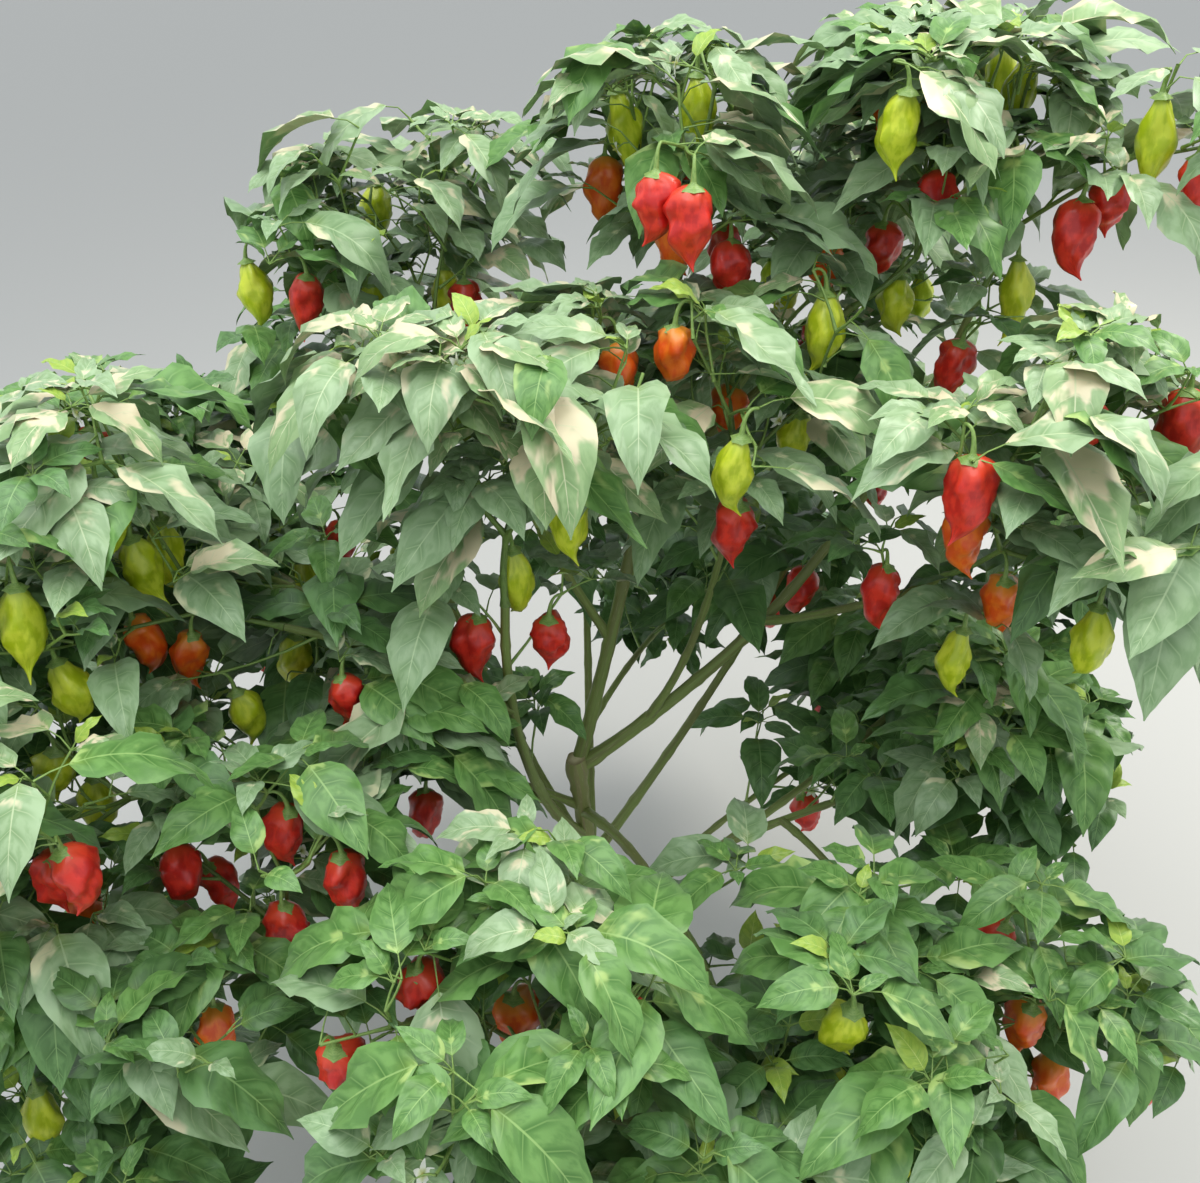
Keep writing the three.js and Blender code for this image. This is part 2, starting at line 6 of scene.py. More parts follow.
import bpy
import numpy as np
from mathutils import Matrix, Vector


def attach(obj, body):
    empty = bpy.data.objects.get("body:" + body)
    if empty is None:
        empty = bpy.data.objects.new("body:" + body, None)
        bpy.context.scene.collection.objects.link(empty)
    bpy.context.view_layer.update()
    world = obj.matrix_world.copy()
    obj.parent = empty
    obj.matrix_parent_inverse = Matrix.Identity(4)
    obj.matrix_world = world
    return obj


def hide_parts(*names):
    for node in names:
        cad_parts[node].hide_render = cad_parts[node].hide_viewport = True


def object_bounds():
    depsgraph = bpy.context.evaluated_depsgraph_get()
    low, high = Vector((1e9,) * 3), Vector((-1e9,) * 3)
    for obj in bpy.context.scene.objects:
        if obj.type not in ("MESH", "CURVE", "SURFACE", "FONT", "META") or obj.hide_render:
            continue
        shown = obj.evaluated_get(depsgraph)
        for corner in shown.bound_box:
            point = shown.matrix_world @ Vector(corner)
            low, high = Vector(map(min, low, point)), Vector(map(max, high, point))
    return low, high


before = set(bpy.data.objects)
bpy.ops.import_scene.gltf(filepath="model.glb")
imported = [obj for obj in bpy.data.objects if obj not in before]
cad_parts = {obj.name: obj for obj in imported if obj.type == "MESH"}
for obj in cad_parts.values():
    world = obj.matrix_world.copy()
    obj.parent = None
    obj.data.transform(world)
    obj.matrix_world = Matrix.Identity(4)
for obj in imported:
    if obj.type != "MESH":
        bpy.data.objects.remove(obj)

# Lengths are in the source's millimetres until a mesh is made.
METRES = 0.001

# Directions, and the steps that a curve is measured by
UP = np.array([0.0, 0.0, 1.0])
NEARLY_UPRIGHT = 0.9
GOLDEN_ANGLE = 137.5
HEADING_STEP = 0.0001
LENGTH_STEPS = 200

# Camera: place in metres, tilt below level in degrees, focal length and frame in pixels of the photo
CAMERA_PLACE = (0.0, -1.05, 1.45)
CAMERA_TILT = 33.0
CAMERA_FOCAL = 1178.0
PHOTO_WIDTH = 1200
PHOTO_HEIGHT = 1183
SENSOR_WIDTH = 36.0
CAMERA_NEAREST = 0.01

# Main stem, as in the part's source
STEM_HEIGHT = 570
STEM_LEAN_X = -28
STEM_LEAN_Y = -40
STEM_FOOT_RADIUS = 13
STEM_TIP_RADIUS = 9
FLARE_RADIUS = 9
FLARE_HEIGHT = 26
FLARE_LOBES = 5
FLARE_LOBE_DEPTH = 0.16
FORK_SHARE = 0.97
FORK_SWELL = 4
FORK_SWELL_LENGTH = 16
STEM_RINGS = 12

# Boughs with their masses: part, limb left, share, (azimuth, out, up, arch), (radii), mass's reach, pods
BOUGH_RING_SPACING = 80
BOUGH_FEWEST_RINGS = 3
SPANS_A_RING = 2
BOUGH_BASE_SWELL = 1.2
BOUGH_SWELL_FADE = 12
LIMB_GAP = 0.3
BOUGHS = [
    ("leader", "main_stem", FORK_SHARE, (55, 165, 445, -0.03), (8, 5), 213, 2),
    ("right", "main_stem", FORK_SHARE, (19, 425, 490, -0.1), (7.5, 4), 230, 2),
    ("front_right", "main_stem", 0.84, (-66, 300, 50, 0.1), (6, 4), 205, 1),
    ("left", "main_stem", 0.76, (-128, 120, 395, -0.1), (6.5, 4.5), 218, 2),
    ("back_left", "main_stem", 0.7, (131, 335, 330, -0.05), (6.5, 4), 218, 1),
    ("front", "main_stem", 0.62, (-97, 325, 150, -0.04), (6, 4), 210, 1),
    ("back_right", "main_stem", 0.68, (46, 385, 280, -0.04), (6.5, 4), 218, 1),
    ("back", "main_stem", 0.56, (92, 315, 350, -0.05), (6.5, 4), 223, 1),
    ("front_left", "main_stem", 0.52, (-139, 340, 215, -0.03), (6, 4), 218, 2),
    ("right_low", "main_stem", 0.47, (-3, 310, 235, 0.05), (6.5, 4), 203, 1),
    ("back_left_high", "bough_leader", 0.33, (132, 255, 230, -0.04), (5, 3.5), 208, 1),
    ("back_right_high", "bough_leader", 0.46, (54, 325, 190, 0.06), (5, 3.5), 208, 1),
    ("right_high", "bough_leader", 0.64, (10, 215, 212, 0.03), (4.8, 3.5), 225, 2),
    ("right_front", "bough_right", 0.4, (-45, 205, 150, -0.04), (5, 3.5), 203, 2),
    ("inner", "bough_right", 0.14, (-5, 75, 250, -0.05), (4.8, 3.5), 205, 1),
    ("left_inner", "main_stem", 0.85, (-158, 130, 95, 0.04), (5, 3.5), 175, 1),
    ("left_low", "bough_left", 0.3, (-158, 340, 140, 0.08), (4.8, 3.5), 210, 2),
    ("left_side", "bough_left", 0.7, (181, 215, 105, 0.05), (4.8, 3.5), 225, 2),
    ("left_outer", "bough_left_side", 0.45, (150, 230, 40, 0.08), (4, 3.2), 203, 1),
    ("right_skirt", "bough_right_low", 0.75, (-66, 212, 5, 0.06), (4.6, 3.5), 213, 1),
    ("right_outer", "bough_right_low", 0.52, (25, 350, 220, -0.04), (4.8, 3.5), 203, 1),
    ("back_low", "bough_back", 0.45, (60, 250, 35, 0.07), (4.6, 3.5), 213, 1),
    ("back_left_low", "bough_back_left", 0.45, (160, 275, 45, 0.07), (4.6, 3.5), 208, 1),
    ("left_skirt", "bough_front_left", 0.45, (-156, 265, 0, 0.08), (4.6, 3.5), 205, 2),
    ("right_inner", "main_stem", 0.42, (30, 300, 150, 0.04), (5, 3.5), 190, 1),
    ("left_middle", "bough_back_left", 0.3, (172, 130, 110, 0.04), (4.6, 3.5), 180, 1),
]

# The space of a mass, as in the source
CENTRE_AHEAD = 0.5
CENTRE_LIFT = 0.55
SPACE_HEIGHT = 0.92
SPACE_MARGIN = 1.2
MASS_STEM_SHARE = 0.92

# Seeds and the twigs' rule, as in the source
SEED = 41
CODE_STEP = 4
TWIG_SEEDS = (1009, 31)
POD_SEEDS = (2003, 7)
STEM_TWIG_LENGTH = 0.34
SHOOT_LENGTH = 0.5
SHOOT_LENGTH_SPREAD = 0.15
SHOOT_SHORTENING = 0.76
SHOOT_LEAN = (48, 38)
SHOOT_LEAN_SPREAD = 0.2
SHOOT_TURN_SPREAD = 20
SHOOT_RETRY_TURN = 53
SHOOTS_AT_FORK = (3, 2)
SHOOT_LIFT = 0.3
SHOOT_TRIES = 5
SHOOT_TAPER = 0.72
LAST_LEVEL = 2
TWIG_CLEARANCE = 2.5
TWIG_SAMPLES = 4
POD_LENGTH = 66
POD_LENGTH_SPREAD = 0.16
POD_RADIUS = 18
POD_RADIUS_SPREAD = 0.1
POD_HANG = -78
PEDICEL_LENGTH = 26
PEDICEL_OUT = 0.7
POD_CLEARANCE = 3
POD_SAMPLES = (0.2, 0.5, 0.8)
POD_TURNS = (0, 90, 180, 270)
POD_TRIES = 8

# Sprigs: the finer twigs that the same rule grows on from the source's twigs
SPRIG_SEEDS = (4001, 13)
SPRIG_SHARES = {1: (0.3, 0.65), 2: (0.45,)}
SPRIGS_AT_TIP = 2
SPRIGS_AT_FORK = 2
SPRIG_FORK_TURN = 90
SPRIG_LENGTHS = (50, 33)
SPRIG_LENGTH_SPREAD = 0.42
SPRIG_LEAN = (52, 40)
SPRIG_RADII = (1.6, 1.2)
SPRIG_BELOW_TOP = 20
SPRIG_REACH = 0.95
LIMB_SPRIG_SPACING = 34
LIMB_SPRIG_GROWTH = 1.5

# Leaves at true size
LEAF_SEEDS = (5003, 11)
LEAF_LENGTH = 88
LEAF_LENGTH_SPREAD = 0.34
LEAF_WIDTH = 0.52
VEINS = 6
ROWS_A_VEIN = 2
LEAF_ROWS = VEINS * ROWS_A_VEIN
ROW_CROWDING = 1.25
LEAF_COLUMNS = 2
LEAVES_MOST = 9000
LEAF_TRIES = 7
LEAF_SPACING = 40
LEAF_BOX_MARGIN = 12
LEAVES_ALONG_SPRIG = (1.0, 0.5)
LEAVES_ALONG_TWIG = {1: (0.9,), 2: (0.95, 0.55)}
YOUNG_SHARE = 0.4

# Petioles: a share of the blade's length, the rise they start from, and their size from node to blade
PETIOLE_SHARE = 0.24
PETIOLE_RISE = 45
PETIOLE_RADIUS = 0.95
PETIOLE_SIZES = (1.25, 0.85, 0.7)
PETIOLE_SIDES = 3
PETIOLE_ARC = 0.22
PETIOLE_SINK = 0.03

# Pods at places in the photo, in its pixels, by colour
PHOTO_PODS = {
    "lime": [
        (445, 580), (482, 577), (697, 122), (790, 290), (820, 305), (862, 315), (922, 315), (983, 285),
        (975, 80), (810, 100), (850, 115), (1060, 120), (1110, 135), (1160, 150), (615, 80), (650, 60),
        (752, 463), (378, 210), (150, 287), (190, 305), (230, 335), (297, 558), (155, 580), (55, 625),
        (62, 745), (228, 700), (318, 660), (978, 640), (1115, 688), (100, 803), (800, 1015), (45, 1105),
    ],
    "red": [
        (710, 195), (655, 190), (535, 300), (278, 325), (730, 305), (795, 352), (880, 262), (990, 425),
        (910, 485), (810, 573), (895, 595), (770, 522), (607, 650), (335, 570), (335, 693), (310, 822),
        (286, 865), (172, 885), (75, 933), (475, 850), (497, 828), (418, 970), (333, 1040), (765, 860),
        (1143, 868), (450, 620), (1170, 410), (1100, 270),
    ],
    "orange": [
        (632, 215), (847, 267), (760, 358), (620, 397), (963, 600), (162, 680), (115, 900), (248, 1030),
        (525, 1037), (1032, 1030), (960, 470), (715, 325),
    ],
}

# How a pod is matched to one of those places: how far below its fork, and how far off in pixels
POD_DROP = 58
POD_FORKS_TRIED = 14
POD_BODY = 0.92
PIXEL_REACH = 62
PIXELS_A_METRE_DEEPER = 90
POD_SIZES = {
    "lime": (80, 18),
    "red": (66, 19),
    "orange": (68, 18),
}
POD_LEAN = 12

# More pods, so that the sides and the back bear fruit too
EXTRA_SEEDS = (6007, 1)
EXTRA_PODS = 2
EXTRA_COLOURS = ("lime", "red", "lime", "red", "orange")

# Lines of sight to pods that are kept free of leaves
SIGHT_LENGTH = 280
SIGHT_RADIUS = 19
SIGHT_PIXELS = 60

# Places in the photo where the crown is open down to the stems, with the depths and width kept open
OPEN_PLACES = [(600, 640), (680, 640), (578, 768), (620, 800), (700, 790)]
OPEN_DEPTHS = (0.5, 1.25)
OPEN_RADIUS = 34

# Tones of leaves, partly by chance and partly painted light and shade: lower in its mass a tuft takes the
# deep tone as painted shade, higher up a brighter lit tone, and in higher masses the lighter soft, pale and
# cream tones paint haze and sheen; the pairs are for the lowest mass and for the highest
TONES = ("deep", "mid", "soft", "lit_green", "pale", "cream", "young")
TONE_SPREAD = 0.55
DEEP_BELOW = (-0.2, -0.5)
MID_BELOW = (0.34, 0.22)
PALE_SHARE = 0.8
CREAM_SHARE = 0.36
LOWEST_MASS = 430
HIGHEST_MASS = 1000

# How a leaf leaves its twig, in degrees, and the room that it needs
LEAF_RISE = (30, -40)
LEAF_DIP = (-14, -80)
LEAF_ROLL = 30
LEAF_LINED_UP = 0.9
LEAF_LEAST_ROOM = 15
LEAF_TIP_REACH = 1.1
LEAF_POD_ROOM = 5
LEAF_LIMB_ROOM = 3
OUTWARD_WORTH = 8
OUTWARD_WEIGHTS = np.array([1.0, 1.0, 0.3])
LEAST_OFFSET = 1e-6

# Tufts of leaves at the sprigs' tips: from the oldest leaf to the youngest
TUFT_LEAVES = 5
TUFT_SHRINK = 0.4
TUFT_ROOM = 0.4
TUFT_RISE = (-14, 44)
TUFT_DIP = (-66, -12)
TUFT_SPREAD = 17
TUFT_TRIES = 3

# Points of a blade that are kept clear, as shares of its chord or, beside it, of its length
CHORD_SHARE = 0.93
LEAF_MIDDLE = 0.45
LEAF_INSIDE = (0.15, 0.75)
LEAF_SIDE_SHARE = 0.2

# Growth of leaves and of the room between them, in the lowest mass and in the highest
SIZE_SHARES = (1.0, 1.06)
ROOM_SHARES = (1.55, 1.0)

# The map that every pattern reads, and the margin round a grid in its cell of the map
MAP_NAME = "OFBake"
CELL_MARGIN = 0.02

# Relief of the bark
BARK_SPACING = 7.0
BARK_FEWEST_RINGS = 8
BARK_PHASE = 6.28
BARK_SIDES = 14
STEM_SIDES = 28
BARK_RIDGES = 5
BARK_RIDGE_DEPTH = 0.05
BARK_RIDGE_TWIST = 90
BARK_LUMP_DEPTH = 0.035
BARK_LUMPS = 3
BARK_LUMP_TWIST = 11
BARK_LUMP_LENGTH = 5.3
BARK_NODE_SPACING = 72.0
BARK_NODE_SWELL = 0.16
BARK_NODE_LENGTH = 6.0
BARK_NODE_SHIFT = 30
BARK_WANDER = 1.6
BARK_WANDER_LENGTH = 60
CAP_SHARES = (0, 0.5, 0.98)

# Meshes of twigs and sprigs
TWIG_RINGS = 9
TWIG_TUBE_SIDES = 7
SPRIG_RINGS = 4
SPRIG_TUBE_SIDES = 5
TWIG_BEND = 0.035
TWIG_NODE_SWELL = 0.35
TWIG_NODE_LENGTH = 3

# Blades: the outline, and how the rows sweep forward from the midrib
LEAF_BASE_POWER = 0.62
LEAF_TIP_POWER = 1.25
LEAF_LEAST_WIDTH = 0.006
WIDTH_SHARES = (0.9, 1.12)
VEIN_SWEEP = 0.24
VEIN_SWEEP_POWER = 1.3

# Blades: the midrib's bend from rise to dip, and how much of a leaf's roll its base has
FINE_STEPS = 48
BEND_POWER = 1.15
ROLL_AT_BASE = 0.3

# Blades: the fold along the midrib and the droop beside it, puckers between veins, waves at the edge
LEAF_FOLD = 24
FOLD_SHARES = (0.35, 1.45)
FOLD_NARROWING = 0.8
LEAF_DROOP = 0.3
LEAF_PUCKER = 0.037
PUCKER_REACH = 1.25
PUCKER_SCALE = 2.2
LEAF_WAVE = 0.05
WAVES_ALONG = 2.2
WAVE_SHIFT = 9
WAVE_SHARES = (0.4, 1.4)

# Factors that make more numbers from 0 to 1 out of a leaf's one: for its width, fold and waves
WIDTH_DRAW = 37
FOLD_DRAW = 53
WAVE_DRAW = 71

# Pieces of leaves
LEAF_CELLS = 3
LEAF_NUMBERS = 1000
LEAVES_A_PIECE = 2000

# Meshes of pods
POD_RINGS = 25
POD_GRID_SIDES = 20
POD_CELLS = 2
POD_CELL_STEP = 3

# A pod's outline: shares of its length and of its radius
POD_OUTLINES = {
    "lime": [(0, 0.2), (0.04, 0.34), (0.14, 0.62), (0.28, 0.9), (0.42, 1), (0.56, 0.93), (0.7, 0.72),
             (0.8, 0.46), (0.87, 0.22), (0.92, 0.11), (1, 0.03)],
    "red": [(0, 0.24), (0.04, 0.56), (0.12, 0.86), (0.27, 1.02), (0.46, 1), (0.62, 0.88), (0.75, 0.66),
            (0.85, 0.38), (0.91, 0.18), (0.95, 0.09), (1, 0.03)],
}
POD_OUTLINES["orange"] = POD_OUTLINES["red"]
POD_FURROW = {"lime": 0.17, "red": 0.22, "orange": 0.2}
POD_LUMPS = {"lime": 1.25, "red": 1.3, "orange": 1.3}

# Furrows of a pod: waves round it, how far and how often they sway, and how sharp they are
POD_PHASE = 6.3
FURROW_WAVES = 1.5
FURROW_SWAY = (0.7, 5)
FURROW_POWER = 2.2

# Lumps of a pod: size, waves along it and waves round it, and how the waves lean
POD_WAVES = [(0.03, 8, 0), (0.095, 7, 2), (0.09, 10, 3), (0.07, 13, 5), (0.04, 18, 7)]
LUMP_SWAY = 1.5
LUMP_TWIST = 4

# A pod's smooth ends, its bow, and where and how far its tail bends, as shares of its length
SMOOTH_ENDS = (0.08, 0.14)
POD_BOW = 0.06
TAIL_START = 0.72
TAIL_BEND = 0.1

# Calyxes, as rings with a drop and a share of the pod's radius, and pedicels
CALYX_STEPS = [(-3.6, 0.11), (-1.6, 0.17), (0.2, 0.3), (1.8, 0.44), (3.2, 0.52)]
CALYX_SIDES = 18
CALYX_LOBES = 6
CALYX_LOBE_DEPTH = 0.13
PEDICEL_RINGS = 7
PEDICEL_SIDES = 6
PEDICEL_RADIUS = 1.4
PEDICEL_SWELL = 0.9
PEDICEL_ABOVE = 1.5
PEDICEL_ARCH = (0.9, 5)

# Flowers
FLOWER_SEEDS = (7001, 1)
FLOWERS = 2
PETALS = 5
PETAL_LENGTH = 10.5
PETAL_WIDTH = 5.2
PETAL_ROWS = 5
PETAL_START = 0.05
PETAL_ROUNDING = (0.8, 0.97)
PETAL_LEAST_WIDTH = 0.4
PETAL_CUP = (0.35, 0.45)
PETAL_TROUGH = 0.35
FLOWER_NOD = (-35, 15)
FLOWER_STALK = 13
FLOWER_STALK_ARCH = 2
FLOWER_STALK_RADIUS = 0.7
FLOWER_STALK_SIDES = 4

# A flower's heart: places along its axis, with the radius at each
HEART_STEPS = [(-1, 1.2), (1.5, 1.7), (4.5, 0.6)]
HEART_SIDES = 6

# Patterns: a noise has a scale, a detail and a stretch; a band has where it is 0 and where it is 1
CELL_STEP = 7.0
LEAF_STRETCH = (1.0, 1.8)

# Leaf pattern: painted shade in the valleys along the side veins, strongest near the midrib, and a mottle
LEAF_ROUGHNESS = 0.4
LEAF_SHEEN = 0.12
VALLEY_SHADE_OFF_VEIN = (0.34, 0.04)
VALLEY_SHADE_OFF_RIB = (0.5, 0.1)
VALLEY_SHADE_SHARE = 0.9
MOTTLE_NOISE = (5.0, 4.0, LEAF_STRETCH)
MOTTLE_BAND = (0.4, 0.66)
MOTTLE_SHARE = 0.6

# Leaf pattern: the yellower foot, and bleached patches that lie nearer the foot
FOOT_SLANT = 0.5
FOOT_BAND = (0.34, 0.04)
FOOT_SHARE = 0.45
BLEACH_NOISE = (1.7, 3.0, LEAF_STRETCH)
BLEACH_FOOT_BAND = (0.66, 0.3)
BLEACH_FOOT = 0.15
BLEACH_EDGE = 0.13

# Leaf pattern: pale side veins and midrib
VEIN_BAND = (0.045, 0.012)
VEIN_OFF_RIB = (0.46, 0.2)
VEIN_SHARE = 0.4
RIB_BAND = (0.02, 0.008)
RIB_SHARE = 0.85

# Bark, cut and twig patterns
BARK_ROUGHNESS = 0.55
STREAK_NOISE = (9.0, 4.0, (1.0, 0.35))
STREAK_BAND = (0.4, 0.62)
FLECK_NOISE = (60.0, 3.0, (1.0, 0.5))
FLECK_BAND = (0.62, 0.72)
FLECK_SHARE = 0.5
CUT_ROUGHNESS = 0.8
CUT_NOISE = (12.0, 3.0)
CUT_NOISE_SHARE = 0.3
CUT_BAND = (0.2, 0.9)
TWIG_ROUGHNESS = 0.45
TWIG_NOISE = (10.0, 3.0)
TWIG_BAND = (0.35, 0.65)

# Pod and flower patterns
POD_ROUGHNESS = 0.34
POD_COAT = 0.12
POD_COAT_ROUGHNESS = 0.2
POD_NOISE = (5.0, 5.0, (2.6, 1.0))
POD_BAND = (0.36, 0.64)
POD_TOP_BAND = (0.22, 0.02)
PETAL_ROUGHNESS = 0.5
PETAL_BAND = (0.1, 0.5)
HEART_ROUGHNESS = 0.6

# Studio
FLOOR_SIZE = 36.0
FLOOR_ROUGHNESS = 0.9
WORLD_STRENGTH = 1.0

# Lights: name, place, size, power, colour; each is tipped outwards, so its soft edge lights the plant
PLANT_MIDDLE = (0, 0, 0.7)
LIGHTS = [
    ("key", (1.4, 0.6, 3.0), 1.2, 86.0, (1.0, 0.97, 0.9)),
    ("sky", (-0.9, -0.6, 3.2), 2.6, 60.0, (0.95, 0.98, 1.0)),
    ("fill", (-0.6, -2.6, 2.4), 1.8, 30.0, (0.97, 1.0, 0.98)),
]


def rgb(red, green, blue):
    """A linear colour with full alpha from a colour on the usual 0 to 255 scale."""
    return (*[((c / 255 + 0.055) / 1.055) ** 2.4 if c > 10 else c / 3295 for c in (red, green, blue)], 1.0)


# Leaf colours by tone, whose deeper and paler copies paint shade and light: blade, darker blade for the
# painted valley shade and the mottle, veins, bleached part, and the noise above which it is bleached
LEAF_COLOURS = {
    # The deep tone: painted shade for tufts low in their mass
    "deep": (rgb(84, 122, 64), rgb(54, 92, 40), rgb(116, 152, 90), rgb(150, 176, 110), 1.0),
    "mid": (rgb(100, 142, 78), rgb(64, 106, 46), rgb(136, 172, 104), rgb(176, 196, 124), 1.0),
    # The soft tone: a lighter grey-green, painted haze that lifts the shade in higher masses
    "soft": (rgb(146, 174, 128), rgb(112, 146, 94), rgb(172, 196, 148), rgb(216, 218, 174), 0.75),
    # The brighter green of tufts high in lower masses: painted light
    "lit_green": (rgb(112, 156, 80), rgb(70, 118, 46), rgb(150, 186, 108), rgb(168, 196, 112), 0.74),
    # The pale tone: painted sheen on tufts high in higher masses
    "pale": (rgb(158, 184, 138), rgb(124, 156, 104), rgb(190, 206, 160), rgb(216, 210, 172), 0.7),
    "cream": (rgb(150, 178, 122), rgb(120, 154, 96), rgb(206, 212, 168), rgb(224, 212, 174), 0.58),
    "young": (rgb(166, 192, 76), rgb(134, 172, 58), rgb(196, 212, 116), rgb(206, 222, 120), 1.0),
}
LEAF_FOOT = rgb(136, 160, 58)

# Pod colours: skin, deeper skin in a noise mottle, and the tint near the calyx
POD_COLOURS = {
    "lime": (rgb(222, 232, 64), rgb(188, 206, 28), rgb(198, 214, 80)),
    "red": (rgb(238, 56, 40), rgb(204, 34, 28), rgb(226, 74, 44)),
    "orange": (rgb(250, 118, 28), rgb(238, 86, 18), rgb(240, 150, 52)),
}

# Bark and twigs: green, and the second colour of the streaks or the mottle
OLD_BARK = (rgb(134, 142, 80), rgb(140, 130, 92))
GREEN_BARK = (rgb(128, 148, 76), rgb(120, 128, 72))
BARK_FLECK = rgb(176, 176, 126)
CUT_COLOURS = (rgb(150, 140, 100), rgb(206, 196, 158))
OLD_TWIG = (rgb(120, 148, 74), rgb(104, 128, 64))
YOUNG_TWIG = (rgb(146, 174, 94), rgb(122, 156, 76))

# Flowers, floor and world
PETAL_COLOURS = (rgb(206, 216, 150), rgb(240, 242, 230))
HEART_COLOUR = rgb(178, 176, 98)
FLOOR_COLOUR = rgb(190, 189, 184)
WORLD_COLOUR = rgb(232, 238, 244)


def unit(vector):
    """A vector's direction."""
    return vector / np.linalg.norm(vector)


def lerp(a, b, share):
    """The value or point at a share of the way from a to b."""
    return a + (b - a) * share


def random_stream(seed):
    """A repeatable stream of numbers from 0 to 1, the same as the source's."""
    mask = 0xFFFFFFFF
    state = seed & mask

    def draw():
        nonlocal state
        state = (state + 0x6D2B79F5) & mask
        t = state
        t = ((t ^ (t >> 15)) * (t | 1)) & mask
        t ^= (t + (((t ^ (t >> 7)) * (t | 61)) & mask)) & mask
        return ((t ^ (t >> 14)) & mask) / 4294967296

    return draw


def stream_for(seeds, index, code):
    """The stream of a mass's twig, fruit or leaves."""
    return random_stream(SEED + index * seeds[0] + code * seeds[1])


def swing(random):
    """A number from -1 to 1."""
    return 2 * random() - 1


def varied(share, random):
    """A factor near 1, at most a share above or below it."""
    return 1 + share * swing(random)


def direction(azimuth, rise):
    """A direction from an azimuth and a rise, in degrees."""
    level = math.cos(radians(rise))
    a = radians(azimuth)
    return np.array([level * math.cos(a), level * math.sin(a), math.sin(radians(rise))])


def sideways(axis, angle):
    """A unit vector square to an axis, turned about it by an angle in degrees."""
    start = UP if abs(axis[2]) < NEARLY_UPRIGHT else np.array([1.0, 0.0, 0.0])
    across = unit(np.cross(axis, start))
    a = radians(angle)
    return across * math.cos(a) + np.cross(axis, across) * math.sin(a)


class Curve:
    """A quadratic curve through a start and an end, bent towards a middle point."""

    def __init__(self, start, middle, end):
        self.points = (start, middle, end)

    def at(self, t):
        """The point at a share of the way."""
        a, b, c = self.points
        return a * (1 - t) ** 2 + b * 2 * t * (1 - t) + c * t * t

    def heading(self, t):
        """The direction at a share of the way."""
        return unit(self.at(min(t + HEADING_STEP, 1.0)) - self.at(max(t - HEADING_STEP, 0.0)))

    def length(self):
        """The length from end to end."""
        points = np.array([self.at(i / LENGTH_STEPS) for i in range(LENGTH_STEPS + 1)])
        return float(np.linalg.norm(np.diff(points, axis=0), axis=1).sum())


def limb_curve(start, path):
    """The curve of a limb that leaves a point."""
    azimuth, out, up, arch = path
    end = start + direction(azimuth, 0) * out + UP * up
    chord = end - start
    length = np.linalg.norm(chord)
    along = chord / length
    lift = unit(UP - along * along[2])
    return Curve(start, lerp(start, end, 0.5) + lift * 2 * arch * length, end)


def stem_radius(share, turn):
    """The main stem's radius, with its root flare and its swollen fork."""
    height = share * STEM_HEIGHT
    flare = FLARE_RADIUS * math.exp(-height / FLARE_HEIGHT)
    lobes = 1 + FLARE_LOBE_DEPTH * math.cos(FLARE_LOBES * turn)
    from_fork = (height - FORK_SHARE * STEM_HEIGHT) / FORK_SWELL_LENGTH
    swell = FORK_SWELL * math.exp(-from_fork * from_fork)
    return lerp(STEM_FOOT_RADIUS, STEM_TIP_RADIUS, share) + flare * lobes + swell


def bough_radius(radii):
    """The function for a bough's radius, a little swollen where it starts."""

    def radius_at(share, _):
        swell = 1 + (BOUGH_BASE_SWELL - 1) * math.exp(-share * BOUGH_SWELL_FADE)
        return lerp(radii[0], radii[1], share) * swell

    return radius_at


def lay_out_limbs():
    """The limbs by name: each with its curve, its radius along it and its rings."""
    top = np.array([STEM_LEAN_X, STEM_LEAN_Y, STEM_HEIGHT], float)
    half = np.array([0, 0, STEM_HEIGHT / 2], float)
    limbs = {"main_stem": (Curve(np.zeros(3), half, top), stem_radius, STEM_RINGS)}
    for part, origin, share, path, radii, *_ in BOUGHS:
        curve = limb_curve(limbs[origin][0].at(share), path)
        rings = max(BOUGH_FEWEST_RINGS, math.floor(curve.length() / BOUGH_RING_SPACING + 0.5))
        limbs["bough_" + part] = (curve, bough_radius(radii), rings)
    return limbs


class Spans:
    """Straight thick lines, for clearances."""

    def __init__(self, rows):
        self.start = np.array([r[0] for r in rows]).reshape(-1, 3)
        self.along = np.array([r[1] for r in rows]).reshape(-1, 3) - self.start
        self.radius = np.array([r[2] for r in rows])

    def clear_of(self, point):
        """The least clear distance from a point."""
        if not len(self.radius):
            return math.inf
        off = point - self.start
        share = (off * self.along).sum(1) / (self.along**2).sum(1)
        near = off - self.along * np.clip(share, 0, 1)[:, None]
        return float((np.linalg.norm(near, axis=1) - self.radius).min())


def limb_spans(limbs):
    """Straight pieces of every limb, as in the source."""
    rows = []
    for curve, radius_at, rings in limbs.values():
        count = rings * SPANS_A_RING
        for i in range(count):
            rows.append((curve.at(i / count), curve.at((i + 1) / count), radius_at(i / count, 0)))
    return Spans(rows)


def lay_out_masses(limbs):
    """The masses with the start of their stem and the centre of their space."""
    masses = []
    for index, (part, *_, reach, fruit) in enumerate(BOUGHS):
        curve, radius_at, _ = limbs["bough_" + part]
        heading = curve.heading(1.0)
        tip = curve.at(1.0)
        centre = tip + unit(heading + UP * CENTRE_LIFT) * CENTRE_AHEAD * reach
        masses.append({
            "part": part,
            "index": index,
            "reach": reach,
            "fruit": fruit,
            "heading": heading,
            "start": tip + heading * LIMB_GAP,
            "radius": radius_at(1.0, 0) * MASS_STEM_SHARE,
            "centre": centre,
        })
    return masses


def in_reach(point, mass, grow=1.0):
    """Whether a point lies within a mass's reach."""
    offset = point - mass["centre"]
    flat = math.sqrt(offset[0] ** 2 + offset[1] ** 2 + (offset[2] / SPACE_HEIGHT) ** 2)
    return flat <= mass["reach"] * grow


